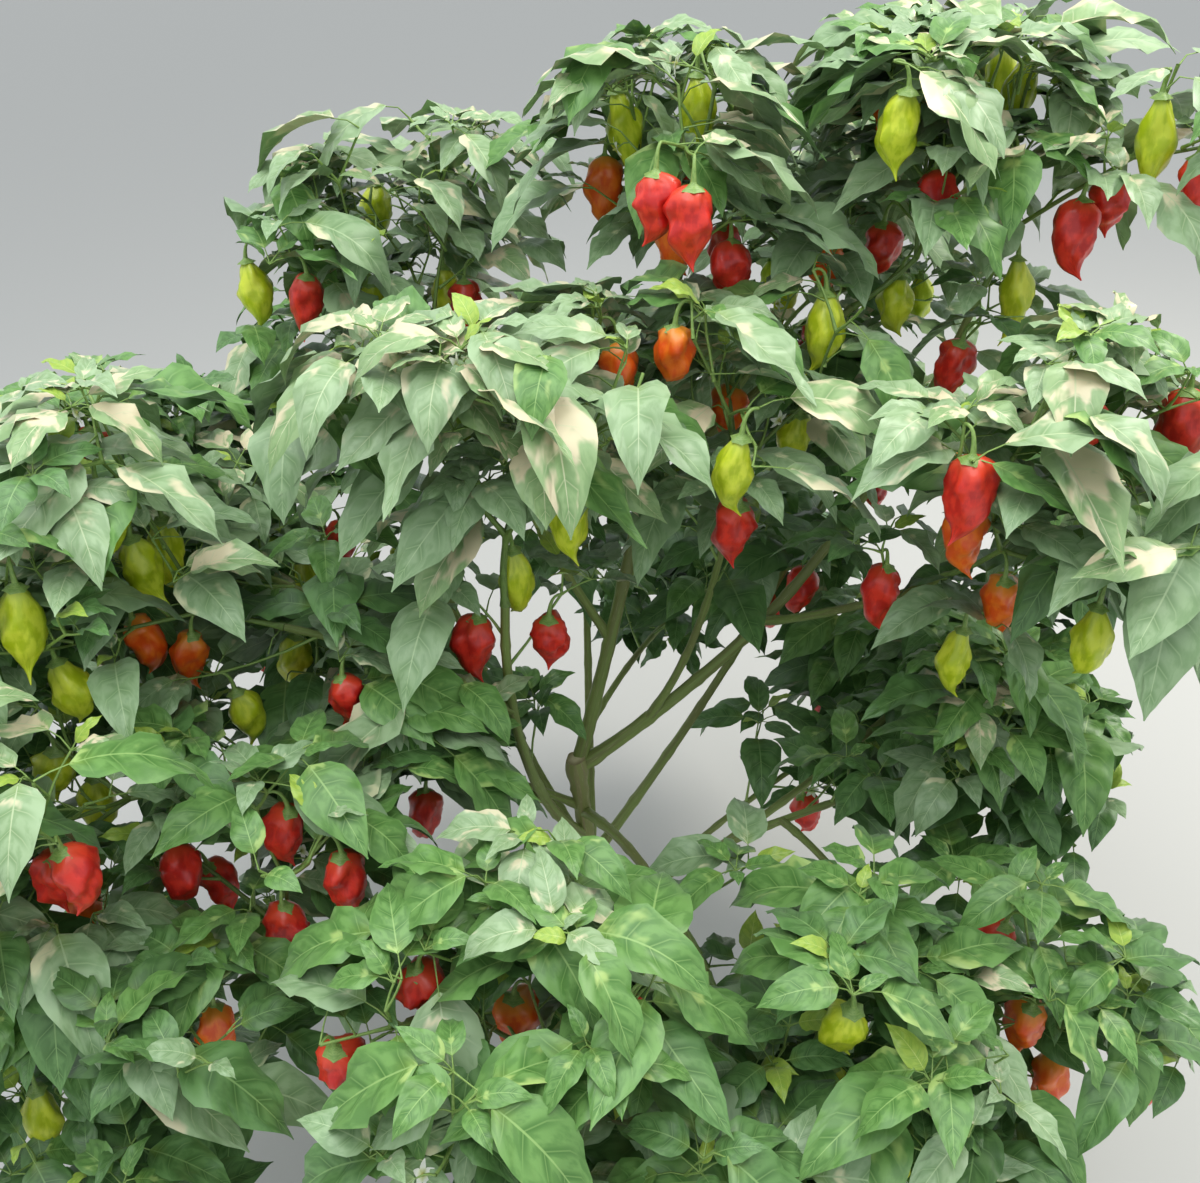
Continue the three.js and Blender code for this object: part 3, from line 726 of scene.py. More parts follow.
def in_space(point, mass, masses):
    """Whether a point lies in a mass's own space: in its reach and on its side of its neighbours."""
    if point[2] < SPACE_MARGIN or not in_reach(point, mass):
        return False
    own = ((point - mass["centre"]) ** 2).sum() - mass["reach"] ** 2
    for other in masses:
        if other is mass:
            continue
        theirs = ((point - other["centre"]) ** 2).sum() - other["reach"] ** 2
        apart = 2 * np.linalg.norm(other["centre"] - mass["centre"])
        if (theirs - own) / apart < SPACE_MARGIN:
            return False
    return True


def try_twig(start, heading, length, radius, mass, masses, spans):
    """A twig's place in its mass, or None where it would leave the space or touch a limb."""
    end = start + heading * length
    for i in range(1, TWIG_SAMPLES + 1):
        point = lerp(start, end, i / TWIG_SAMPLES)
        if not in_space(point, mass, masses) or spans.clear_of(point) < radius + TWIG_CLEARANCE:
            return None
    return {"from": start, "to": end, "heading": heading, "radius": radius}


def shoot_heading(parent, angle, lean):
    """The heading of a shoot that leans off its parent and lifts towards the light."""
    heading = parent * math.cos(lean) + sideways(parent, angle) * math.sin(lean)
    return unit(heading + UP * SHOOT_LIFT)


def grow_twigs(mass, masses, spans):
    """The twigs of a mass, grown fork by fork, as in the source."""
    first = {"from": mass["start"], "heading": mass["heading"], "radius": mass["radius"]}
    end = mass["start"] + mass["heading"] * STEM_TWIG_LENGTH * mass["reach"]
    twigs = [{**first, "to": end, "level": 0, "code": 1}]
    for parent in twigs:
        level = parent["level"]
        if level == LAST_LEVEL:
            continue
        random = stream_for(TWIG_SEEDS, mass["index"], parent["code"])
        turn = random() * 360
        count = SHOOTS_AT_FORK[level]
        length = SHOOT_LENGTH * mass["reach"] * SHOOT_SHORTENING**level
        for child in range(count):
            for attempt in range(SHOOT_TRIES):
                jitter = SHOOT_TURN_SPREAD * swing(random) + attempt * SHOOT_RETRY_TURN
                lean = radians(SHOOT_LEAN[level] * varied(SHOOT_LEAN_SPREAD, random))
                shoot = shoot_heading(parent["heading"], turn + child * 360 / count + jitter, lean)
                size = length * varied(SHOOT_LENGTH_SPREAD, random)
                radius = parent["radius"] * SHOOT_TAPER
                placed = try_twig(parent["to"], shoot, size, radius, mass, masses, spans)
                if placed:
                    code = parent["code"] * CODE_STEP + child + 1
                    twigs.append({**placed, "level": level + 1, "code": code})
                    break
    return twigs


def stalk_way(random):
    """The direction from a fork to its pod: down and somewhat outwards."""
    return unit(direction(random() * 360, 0) * PEDICEL_OUT - UP)


def pod_from(fork, hang, down, length, radius):
    """A pod whose stalk leaves a fork in one direction, and that points down in another."""
    start = fork + hang * PEDICEL_LENGTH
    return {
        "fork": fork,
        "from": start,
        "to": start + down * length,
        "down": down,
        "length": length,
        "radius": radius,
    }


def samples_of(pod):
    """Points along the middle of a pod."""
    return [lerp(pod["from"], pod["to"], share) for share in POD_SAMPLES]


def pod_fits(pod, others, pods, mass, masses, spans):
    """Whether a pod stays in its mass's space, clear of limbs, twigs and the pods before it."""
    if not in_space(pod["to"], mass, masses):
        return False
    for point in samples_of(pod):
        if spans.clear_of(point) < pod["radius"] + POD_CLEARANCE:
            return False
        if others.clear_of(point) < pod["radius"] or pods.clear_of(point) < pod["radius"] + POD_CLEARANCE:
            return False
        for turn in POD_TURNS:
            if not in_space(point + sideways(pod["down"], turn) * pod["radius"], mass, masses):
                return False
    return True


def spans_of(things):
    """The spans of twigs or pods."""
    return Spans([(t["from"], t["to"], t["radius"]) for t in things])


def hang_pods(twigs, mass, masses, spans):
    """The pods of a mass that the source has too, hung by its rule."""
    pods = []
    forks = [twig for twig in twigs if twig["level"] < LAST_LEVEL][::-1]
    random = stream_for(POD_SEEDS, mass["index"], 1)
    for attempt in range(POD_TRIES * mass["fruit"]):
        if len(pods) == mass["fruit"]:
            break
        twig = forks[attempt % len(forks)]
        hang = stalk_way(random)
        length = POD_LENGTH * varied(POD_LENGTH_SPREAD, random)
        down = direction(random() * 360, POD_HANG)
        radius = POD_RADIUS * varied(POD_RADIUS_SPREAD, random)
        pod = pod_from(twig["to"], hang, down, length, radius)
        others = spans_of([other for other in twigs if other is not twig])
        if pod_fits(pod, others, spans_of(pods), mass, masses, spans):
            pods.append(pod)
    return pods


def in_box(point, box):
    """Whether a point lies in a box."""
    return (point > box[0]).all() and (point < box[1]).all()


def grow_sprig(start, parent, angle, order, random, room, grow=1.0):
    """One sprig that leaves a twig or bough, or None where it finds no room."""
    mass, spans, box = room
    for attempt in range(SHOOT_TRIES):
        lean = radians(SPRIG_LEAN[order] * varied(SHOOT_LEAN_SPREAD, random))
        heading = shoot_heading(parent, angle + attempt * SHOOT_RETRY_TURN, lean)
        end = start + heading * SPRIG_LENGTHS[order] * grow * varied(SPRIG_LENGTH_SPREAD, random)
        radius = SPRIG_RADII[order]
        if not in_reach(end, mass, SPRIG_REACH) or not in_box(end, box):
            continue
        if spans.clear_of(end) > radius + TWIG_CLEARANCE:
            sprig = {"from": start, "to": end, "heading": heading, "radius": radius}
            return {**sprig, "finer": [], "kept": False}
    return None


def grow_forked_sprig(start, parent, turn, random, room, grow=1.0):
    """A sprig and the finer ones that it forks into, as a list that is empty where it finds no room."""
    sprig = grow_sprig(start, parent, turn, 0, random, room, grow)
    if not sprig:
        return []
    for child in range(SPRIGS_AT_FORK):
        angle = turn + SPRIG_FORK_TURN + child * 360 / SPRIGS_AT_FORK + SHOOT_TURN_SPREAD * random()
        finer = grow_sprig(sprig["to"], sprig["heading"], angle, 1, random, room)
        if finer:
            sprig["finer"].append(finer)
    return [sprig]


def grow_limb_sprigs(mass, curve, spans, box):
    """The sprigs that leave a mass's bough where it already runs within the mass's reach."""
    random = stream_for(SPRIG_SEEDS, mass["index"], 0)
    count = int(curve.length() / LIMB_SPRIG_SPACING)
    room = (mass, spans, box)
    sprigs = []
    for number in range(1, count):
        start, heading = curve.at(number / count), curve.heading(number / count)
        if in_reach(start, mass):
            turn = number * GOLDEN_ANGLE
            sprigs += grow_forked_sprig(start, heading, turn, random, room, LIMB_SPRIG_GROWTH)
    return sprigs


def grow_sprigs(twigs, mass, spans, box):
    """The sprigs of a mass: some along its shoots and more at their tips, each forking once."""
    sprigs = []
    for twig in twigs[1:]:
        random = stream_for(SPRIG_SEEDS, mass["index"], twig["code"])
        starts = [lerp(twig["from"], twig["to"], share) for share in SPRIG_SHARES[twig["level"]]]
        if twig["level"] == LAST_LEVEL:
            starts += [twig["to"]] * SPRIGS_AT_TIP
        turn = random() * 360
        for start in starts:
            turn += 360 / SPRIGS_AT_TIP + SHOOT_TURN_SPREAD * random()
            sprigs += grow_forked_sprig(start, twig["heading"], turn, random, (mass, spans, box))
    return sprigs


def seen_at(points):
    """Where points in millimetres lie in the photo: columns, rows and depths in metres."""
    off = np.atleast_2d(points) * METRES - np.array(CAMERA_PLACE)
    tilt = radians(CAMERA_TILT)
    depth = off[:, 1] * math.cos(tilt) - off[:, 2] * math.sin(tilt)
    height = off[:, 1] * math.sin(tilt) + off[:, 2] * math.cos(tilt)
    column = PHOTO_WIDTH / 2 + CAMERA_FOCAL * off[:, 0] / depth
    row = PHOTO_HEIGHT / 2 - CAMERA_FOCAL * height / depth
    return column, row, depth


def place_seen(column, row, depth):
    """The point in millimetres at a depth in metres behind a place in the photo."""
    tilt = radians(CAMERA_TILT)
    side = (column - PHOTO_WIDTH / 2) / CAMERA_FOCAL
    rise = (PHOTO_HEIGHT / 2 - row) / CAMERA_FOCAL
    ahead = math.cos(tilt) + rise * math.sin(tilt)
    above = rise * math.cos(tilt) - math.sin(tilt)
    return (np.array(CAMERA_PLACE) + np.array([side, ahead, above]) * depth) / METRES


def pod_below(fork, colour, random):
    """A pod of a colour's usual size that hangs below a fork."""
    length, radius = POD_SIZES[colour]
    hang = stalk_way(random)
    down = direction(random() * 360, -90 + POD_LEAN * random())
    length *= varied(POD_LENGTH_SPREAD, random)
    radius *= varied(POD_RADIUS_SPREAD, random)
    return {**pod_from(fork, hang, down, length, radius), "colour": colour}


def middle_of(pod):
    """The middle of a pod."""
    return lerp(pod["from"], pod["to"], 0.5)


def hangs_clear(pod, pods, spans):
    """Whether a pod hangs clear of the limbs and of the pods before it."""
    others = spans_of(pods)
    for point in samples_of(pod):
        if min(others.clear_of(point), spans.clear_of(point)) < pod["radius"] * POD_BODY:
            return False
    return True


def nearest_photo_pod(pod):
    """How many pixels off the photo's nearest pod is, and its colour."""
    column, row, _ = seen_at(middle_of(pod))
    found = []
    for colour, places in PHOTO_PODS.items():
        found += [(math.hypot(x - column[0], y - row[0]), colour) for x, y in places]
    return min(found)


def forks_of(twigs, sprigs):
    """Where pods can hang: the ends of twigs and of sprigs."""
    return [(twig["to"], twig) for twig in twigs] + [(sprig["to"], sprig) for sprig in sprigs]


def match_photo_pods(forks, pods, spans, random):
    """Pods that hang from the forks nearest to where the photo shows them."""
    column, row, depth = seen_at(np.array([at for at, _ in forks]) - UP * POD_DROP)
    matched = []
    for colour, places in PHOTO_PODS.items():
        for x, y in places:
            off = np.hypot(column - x, row - y)
            cost = off + depth * PIXELS_A_METRE_DEEPER
            for index in np.argsort(cost)[:POD_FORKS_TRIED]:
                if off[index] > PIXEL_REACH:
                    continue
                at, holder = forks[index]
                pod = pod_below(at, colour, random)
                if hangs_clear(pod, pods + matched, spans):
                    matched.append(pod)
                    holder["kept"] = True
                    break
    return matched


def add_extra_pods(mass_forks, pods, spans):
    """A few pods more in each mass, so that the sides and the back bear fruit too."""
    extra = []
    for index, forks in enumerate(mass_forks):
        random = stream_for(EXTRA_SEEDS, index, 1)
        for _ in range(EXTRA_PODS):
            colour = EXTRA_COLOURS[int(random() * len(EXTRA_COLOURS))]
            at, holder = forks[int(random() * len(forks))]
            pod = pod_below(at, colour, random)
            if hangs_clear(pod, pods + extra, spans):
                extra.append(pod)
                holder["kept"] = True
    return extra


def height_share(mass):
    """How high a mass stands, from 0 for the lowest to 1."""
    share = (mass["centre"][2] - LOWEST_MASS) / (HIGHEST_MASS - LOWEST_MASS)
    return min(max(share, 0.0), 1.0)


def least_room(mass):
    """The least room between leaves, wider in the lowest masses."""
    return LEAF_LEAST_ROOM * lerp(*ROOM_SHARES, height_share(mass))


def tone_for(point, mass, random):
    """A tuft's tone, by how high it stands in its mass and by chance: painted light, with the deep, shaded
    tone lower down and the paler, lit tones higher up and in higher masses.
    """
    height = height_share(mass)
    light = (point[2] - mass["centre"][2]) / mass["reach"] + TONE_SPREAD * swing(random)
    if light < lerp(*DEEP_BELOW, height):
        return "deep"
    if light < lerp(*MID_BELOW, height):
        return "soft" if random() < height else "mid"
    chance = random()
    if chance < CREAM_SHARE * height**2:
        return "cream"
    return "pale" if chance < PALE_SHARE * height else "lit_green"


class Canopy:
    """The leaves so far, with what they have to keep clear of."""

    def __init__(self, spans, pods, sights, box):
        self.spans = spans
        self.pods = pods
        self.sights = sights
        self.box = box
        self.leaves = []
        self.middles = np.zeros((LEAVES_MOST, 3))

    def room(self, point):
        """How far a point is from the middle of any leaf."""
        count = len(self.leaves)
        if not count:
            return LEAF_SPACING
        off = self.middles[:count] - point
        return math.sqrt((off * off).sum(1).min())

    def fits(self, leaf, mass):
        """Whether a blade stays in reach, in the box and clear of limbs, pods and open sights."""
        if not in_reach(leaf["tip"], mass, LEAF_TIP_REACH) or not in_reach(leaf["middle"], mass):
            return False
        for point in (leaf["tip"], *leaf["inside"]):
            if not in_box(point, self.box):
                return False
            if self.pods.clear_of(point) < LEAF_POD_ROOM or self.sights.clear_of(point) < LEAF_POD_ROOM:
                return False
            if self.spans.clear_of(point) < LEAF_LIMB_ROOM:
                return False
        return True

    def add(self, leaf):
        """One more leaf."""
        self.middles[len(self.leaves)] = leaf["middle"]
        self.leaves.append(leaf)


def leaf_at(node, turn, length, rise, dip, random):
    """A leaf on its petiole at one azimuth, whose midrib bends from a rise to a dip."""
    petiole = direction(turn, lerp(PETIOLE_RISE, rise, random())) * PETIOLE_SHARE * length
    base = node + petiole
    chord = direction(turn, (rise + dip) / 2) * length * CHORD_SHARE
    middle = base + chord * LEAF_MIDDLE
    across = direction(turn + 90, 0) * length * LEAF_SIDE_SHARE
    along = [base + chord * share for share in LEAF_INSIDE]
    return {
        "inside": (middle, middle + across, middle - across, *along),
        "node": node,
        "base": base,
        "azimuth": turn,
        "rise": rise,
        "dip": dip,
        "length": length,
        "roll": LEAF_ROLL * swing(random),
        "middle": middle,
        "tip": base + chord,
    }


def grow_tuft(canopy, sprig, size, mass, random):
    """A tuft round a sprig's tip: large drooping leaves first, then smaller ones that rise."""
    tone = tone_for(sprig["to"], mass, random)
    turn = random() * 360
    least = least_room(mass)
    for number in range(TUFT_LEAVES):
        age = number / (TUFT_LEAVES - 1)
        room = least * lerp(1, TUFT_ROOM, age)
        for _ in range(TUFT_TRIES):
            turn += GOLDEN_ANGLE
            rise = lerp(*TUFT_RISE, age) + TUFT_SPREAD * swing(random)
            dip = lerp(*TUFT_DIP, age) + TUFT_SPREAD * swing(random)
            length = size * lerp(1.0, TUFT_SHRINK, age) * varied(LEAF_LENGTH_SPREAD, random)
            leaf = leaf_at(sprig["to"], turn, length, rise, dip, random)
            if canopy.fits(leaf, mass) and canopy.room(leaf["middle"]) > room:
                young = number == TUFT_LEAVES - 1 and random() < YOUNG_SHARE
                leaf["tone"] = "young" if young else tone
                leaf["seed"] = random()
                canopy.add(leaf)
                sprig["kept"] = True
                break


def place_leaf(canopy, holder, share, length, mass, random):
    """The best of a few tries at one leaf along a twig or sprig, if any has room."""
    node = lerp(holder["from"], holder["to"], share)
    best, best_worth = None, 0.0
    least = least_room(mass)
    turn = random() * 360
    away = unit((node - mass["centre"]) * OUTWARD_WEIGHTS + LEAST_OFFSET)
    for _ in range(LEAF_TRIES):
        turn += GOLDEN_ANGLE
        rise = lerp(*LEAF_RISE, random())
        dip = lerp(*LEAF_DIP, random())
        leaf = leaf_at(node, turn, length * varied(LEAF_LENGTH_SPREAD, random), rise, dip, random)
        heading = direction(turn, 0)
        if abs(heading @ holder["heading"]) > LEAF_LINED_UP or not canopy.fits(leaf, mass):
            continue
        room = canopy.room(leaf["middle"])
        worth = min(room, LEAF_SPACING) + OUTWARD_WORTH * (heading @ away)
        if room > least and worth > best_worth:
            best, best_worth = leaf, worth
    if best:
        best["tone"] = tone_for(node, mass, random)
        best["seed"] = random()
        canopy.add(best)
        holder["kept"] = True


def grow_leaves(canopy, twigs, sprigs, mass):
    """The leaves of a mass: a tuft at each finest sprig's tip and single leaves further in."""
    random = stream_for(LEAF_SEEDS, mass["index"], 1)
    size = LEAF_LENGTH * lerp(*SIZE_SHARES, height_share(mass))
    for sprig in reversed(sprigs):
        for finer in sprig["finer"]:
            grow_tuft(canopy, finer, size, mass, random)
        for share in LEAVES_ALONG_SPRIG:
            place_leaf(canopy, sprig, share, size, mass, random)
    for twig in twigs[1:]:
        for share in LEAVES_ALONG_TWIG[twig["level"]]:
            place_leaf(canopy, twig, share, size, mass, random)


def kept_sprigs(sprigs):
    """The sprigs that bear a leaf or a pod, or a finer one that does."""
    kept = []
    for sprig in sprigs:
        finer = [s for s in sprig["finer"] if s["kept"]]
        if sprig["kept"] or finer:
            kept += [sprig, *finer]
    return kept


def linked(name, data):
    """A new object in the scene."""
    made = bpy.data.objects.new(name, data)
    bpy.context.scene.collection.objects.link(made)
    return made


class Piece:
    """Grids of points joined into one mesh, with a map whose cells the grids share."""

    def __init__(self, cells=1):
        self.cells = cells
        self.points, self.faces, self.maps = [], [], []
        self.count = 0

    def add(self, grids, wrap=False, cell=None):
        """Adds grids of shape (count, rows, columns, 3); wrap joins the last column to the first."""
        many, rows, columns, _ = grids.shape
        across = columns if wrap else columns - 1
        r, c = [x.ravel() for x in np.meshgrid(np.arange(rows - 1), np.arange(across), indexing="ij")]
        corners = [(r, c), (r, c + 1), (r + 1, c + 1), (r + 1, c)]
        one = np.stack([row * columns + column % columns for row, column in corners], 1)
        at = np.stack([np.stack([column / across, row / (rows - 1)], 1) for row, column in corners], 1)
        starts = self.count + np.arange(many) * rows * columns
        self.faces.append((one[None] + starts[:, None, None]).reshape(-1, 4))
        place = np.zeros((many, 2)) if cell is None else np.asarray(cell)
        inside = CELL_MARGIN + (1 - 2 * CELL_MARGIN) * at[None]
        at = (place[:, None, None, :] + inside) / self.cells
        self.maps.append(at.reshape(-1, 2))
        self.points.append(grids.reshape(-1, 3))
        self.count += many * rows * columns

    def make(self, name, material, slot):
        """The finished object, smooth and riding on the plant's one body."""
        mesh = bpy.data.meshes.new(name)
        points = np.concatenate(self.points) * METRES
        faces = np.concatenate(self.faces)
        mesh.vertices.add(len(points))
        mesh.vertices.foreach_set("co", points.astype(np.float32).ravel())
        mesh.loops.add(faces.size)
        mesh.loops.foreach_set("vertex_index", faces.astype(np.int32).ravel())
        mesh.polygons.add(len(faces))
        mesh.polygons.foreach_set("loop_start", np.arange(0, faces.size, 4, dtype=np.int32))
        layer = mesh.uv_layers.new(name=MAP_NAME)
        layer.data.foreach_set("uv", np.concatenate(self.maps).astype(np.float32).ravel())
        mesh.update(calc_edges=True)
        mesh.polygons.foreach_set("use_smooth", np.ones(len(faces), bool))
        mesh.materials.append(material)
        made = linked(name, mesh)
        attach(made, "root")
        return made


def turns_round(sides):
    """The angles of a ring's points."""
    return np.arange(sides) * 2 * math.pi / sides


def ring_of(across, third, sides):
    """A ring of radius 1 round the origin, in the plane of two directions."""
    turns = turns_round(sides)
    return np.outer(np.cos(turns), across) + np.outer(np.sin(turns), third)


def cells_for(numbers, cells):
    """The cell of the map that each grid takes, from a whole number of its own."""
    return np.stack([numbers % cells, numbers // cells % cells], 1)


def ring_frames(points):
    """Headings along a line of points and two directions square to each, carried on without a twist."""
    headings = np.gradient(points, axis=0)
    headings /= np.linalg.norm(headings, axis=1)[:, None]
    across = sideways(headings[0], 0)
    frames = []
    for heading in headings:
        across = unit(across - heading * (across @ heading))
        frames.append((across, np.cross(across, heading)))
    return frames


def tube(points, radii, sides):
    """A grid round a line of points; radii has one row of values for each ring, or one value."""
    grid = np.zeros((len(points), sides, 3))
    for i, (across, third) in enumerate(ring_frames(points)):
        grid[i] = points[i] + ring_of(across, third, sides) * np.broadcast_to(radii[i], sides)[:, None]
    return grid[None]


def bark_grid(curve, radius_at, sides, random):
    """A limb with ridges, small lumps and swollen nodes; its two last rings close it."""
    length = curve.length()
    shares = np.linspace(0, 1, max(BARK_FEWEST_RINGS, int(length / BARK_SPACING)) + 1)
    turns = turns_round(sides)
    phase = [random() * BARK_PHASE for _ in range(5)]
    along = (shares * length)[:, None]
    wander = np.sin(along / BARK_WANDER_LENGTH + phase[0]) * np.sin(shares * math.pi)[:, None]
    points = np.array([curve.at(t) for t in shares])
    points += sideways(curve.heading(0.5), 360 * random()) * BARK_WANDER * wander
    ridges = np.cos(BARK_RIDGES * turns + along / BARK_RIDGE_TWIST + phase[1])
    lumps = np.sin(BARK_LUMPS * turns + along / BARK_LUMP_TWIST + phase[2])
    lumps = lumps * np.sin(along / BARK_LUMP_LENGTH + phase[3])
    from_node = (along + BARK_NODE_SHIFT * phase[4]) % BARK_NODE_SPACING - BARK_NODE_SPACING / 2
    radii = np.array([[radius_at(t, turn) for turn in turns] for t in shares])
    radii *= (1 + BARK_RIDGE_DEPTH * ridges) * (1 + BARK_LUMP_DEPTH * lumps)
    radii *= 1 + BARK_NODE_SWELL * np.exp(-((from_node / BARK_NODE_LENGTH) ** 2))
    grid = tube(points, radii, sides)
    grid[..., 2] = grid[..., 2].clip(0)
    return grid


def cap_grid(grid, at_end):
    """Rings that close one end of a tube."""
    ring = grid[0, -1 if at_end else 0]
    rings = [lerp(ring, ring.mean(0), share) for share in CAP_SHARES]
    return np.array(rings if at_end else rings[::-1])[None]


def make_bark(limbs):
    """The main stem and the boughs with the bark's relief, and the dry cut at the stem's top."""
    stem, top, boughs = Piece(), Piece(), Piece()
    for number, (name, (curve, radius_at, _)) in enumerate(limbs.items()):
        random = random_stream(SEED + number)
        if name == "main_stem":
            grid = bark_grid(curve, radius_at, STEM_SIDES, random)
            stem.add(grid, wrap=True)
            stem.add(cap_grid(grid, False), wrap=True)
            top.add(cap_grid(grid, True), wrap=True)
        else:
            grid = bark_grid(curve, radius_at, BARK_SIDES, random)
            boughs.add(grid, wrap=True)
            boughs.add(cap_grid(grid, True), wrap=True)
    made = stem.make("main_stem_bark", bark_material("bark_old", OLD_BARK), "stem")
    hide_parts("main_stem")
    top.make("stem_cut", cut_material(), "stem")
    made = boughs.make("bough_bark", bark_material("bark_green", GREEN_BARK), "stem")
    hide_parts(*[name for name in limbs if name != "main_stem"])


def twig_grid(twig, rings, sides, random):
    """A twig with a slight bend, tapering, swollen at both ends."""
    shares = np.linspace(0, 1, rings)
    length = np.linalg.norm(twig["to"] - twig["from"])
    points = lerp(twig["from"], twig["to"], shares[:, None])
    bend = sideways(twig["heading"], 360 * random()) * TWIG_BEND * length
    points = points + bend * np.sin(shares * math.pi)[:, None]
    near_ends = sum(np.exp(-share * length / TWIG_NODE_LENGTH) for share in (shares, 1 - shares))
    radii = twig["radius"] * lerp(1.0, SHOOT_TAPER, shares) * (1 + TWIG_NODE_SWELL * near_ends)
    return tube(points, radii[:, None], sides)


def values_of(leaves, key):
    """One value of each leaf, as an array."""
    return np.array([leaf[key] for leaf in leaves])


def level_ways(azimuth):
    """The level directions at azimuths, and those square to them."""
    forward = np.stack([np.cos(azimuth), np.sin(azimuth), 0 * azimuth], -1)
    across = np.stack([np.sin(azimuth), -np.cos(azimuth), 0 * azimuth], -1)
    return forward, across


def petiole_grids(leaves):
    """The petioles, each bent from its node to the start of its blade, as one set of grids."""
    node, base = values_of(leaves, "node"), values_of(leaves, "base")
    length = values_of(leaves, "length")[:, None]
    azimuth, rise = [np.radians(values_of(leaves, key)) for key in ("azimuth", "rise")]
    run = np.linalg.norm(base - node, axis=1)[:, None]
    along = (base - node) / run
    forward, across = level_ways(azimuth)
    over = np.cross(across, along)
    head = forward * np.cos(rise)[:, None] + UP * np.sin(rise)[:, None]
    middle = (node + base) / 2 + (along - head) * run * PETIOLE_ARC
    sunk = base + head * length * PETIOLE_SINK
    grids = []
    for centre, size in zip((node, middle, sunk), PETIOLE_SIZES):
        outs = [across * math.cos(turn) + over * math.sin(turn) for turn in turns_round(PETIOLE_SIDES)]
        grids.append(np.stack([centre + out * PETIOLE_RADIUS * size for out in outs], 1))
    return np.stack(grids, 1)


def leaf_half_width(t):
    """Half a leaf's width along it as a share of its greatest: rounded base, long drawn-out tip."""
    t = np.clip(t, 0, 1)
    peak = LEAF_BASE_POWER / (LEAF_BASE_POWER + LEAF_TIP_POWER)
    most = peak**LEAF_BASE_POWER * (1 - peak) ** LEAF_TIP_POWER
    return t**LEAF_BASE_POWER * (1 - t) ** LEAF_TIP_POWER / most


def blade_rows():
    """A blade's points: their side, from -1 to 1, their row, and their share of the midrib."""
    rows = np.linspace(0, 1, LEAF_ROWS + 1)[:, None]
    side = (np.arange(-LEAF_COLUMNS, LEAF_COLUMNS + 1) / LEAF_COLUMNS)[None]
    crowded = rows**ROW_CROWDING
    sweep = VEIN_SWEEP * np.abs(side) ** VEIN_SWEEP_POWER * np.sin(math.pi * crowded)
    return side, rows, crowded + sweep


def midribs(leaves, t):
    """For points beside each midrib: the way to it from the base, across it and out of the blade."""
    azimuth, rise, dip, roll = [
        np.radians(values_of(leaves, key))[:, None, None] for key in ("azimuth", "rise", "dip", "roll")
    ]
    forward, across = level_ways(azimuth)
    tilt = (rise + (dip - rise) * np.linspace(0, 1, FINE_STEPS + 1) ** BEND_POWER)[:, 0]
    nearest = np.clip((t * FINE_STEPS).round().astype(int), 0, FINE_STEPS)
    foot = np.zeros((len(leaves), 1))
    level, height = [
        np.concatenate([foot, np.cumsum(part(tilt[:, 1:]), 1)], 1)[:, nearest] / FINE_STEPS
        for part in (np.cos, np.sin)
    ]
    tilted = tilt[:, nearest][..., None]
    normal = UP * np.cos(tilted) - forward * np.sin(tilted)
    way = forward * level[..., None] + UP * height[..., None]
    roll = (roll * lerp(ROLL_AT_BASE, 1, t))[..., None]
    turned = across * np.cos(roll) + normal * np.sin(roll)
    return way, turned, normal * np.cos(roll) - across * np.sin(roll)


def redrawn(seed, factor):
    """Another number from 0 to 1, made out of a leaf's own."""
    return (seed * factor) % 1


def blade_lift(side, rows, t, seed):
    """How far a blade's puckers and waves stand out of its plane, as a share of its length."""
    out = np.abs(side)
    pucker = np.sin(math.pi * VEINS * rows) ** 2 * out * (PUCKER_REACH - out) * PUCKER_SCALE
    wave = np.sin(2 * math.pi * (WAVES_ALONG * t + seed * WAVE_SHIFT) + np.sign(side) * (1 + seed)) * out**3
    wave = wave * np.sin(math.pi * np.clip(t, 0, 1)) * lerp(*WAVE_SHARES, redrawn(seed, WAVE_DRAW))
    return LEAF_PUCKER * pucker * leaf_half_width(t) + LEAF_WAVE * wave


def leaf_grids(leaves):
    """The blades as one set of grids, whose rows follow the side veins."""
    side, rows, t = blade_rows()
    way, across, normal = midribs(leaves, t)
    length, seed = [values_of(leaves, key)[:, None, None] for key in ("length", "seed")]
    width = LEAF_WIDTH * lerp(*WIDTH_SHARES, redrawn(seed, WIDTH_DRAW))
    half = np.maximum(leaf_half_width(t) * width / 2, LEAF_LEAST_WIDTH)
    fold = np.radians(LEAF_FOLD * lerp(*FOLD_SHARES, redrawn(seed, FOLD_DRAW)))
    reach = half * side * np.cos(fold * FOLD_NARROWING)
    lift = half * (np.abs(side) * np.sin(fold) - side**2 * LEAF_DROOP) + blade_lift(side, rows, t, seed)
    blade = way + across * reach[..., None] + normal * lift[..., None]
    return values_of(leaves, "base")[:, None, None, :] + blade * length[..., None]


def make_leaves(canopy):
    """The leaves, in pieces of one tone."""
    for tone in TONES:
        leaves = [leaf for leaf in canopy.leaves if leaf["tone"] == tone]
        for number, start in enumerate(range(0, len(leaves), LEAVES_A_PIECE)):
            part = leaves[start:start + LEAVES_A_PIECE]
            piece = Piece(LEAF_CELLS)
            numbers = (values_of(part, "seed") * LEAF_NUMBERS).astype(int)
            piece.add(leaf_grids(part), cell=cells_for(numbers, LEAF_CELLS))
            piece.make(f"leaves_{tone}_{number + 1}", leaf_material(tone), "foliage")


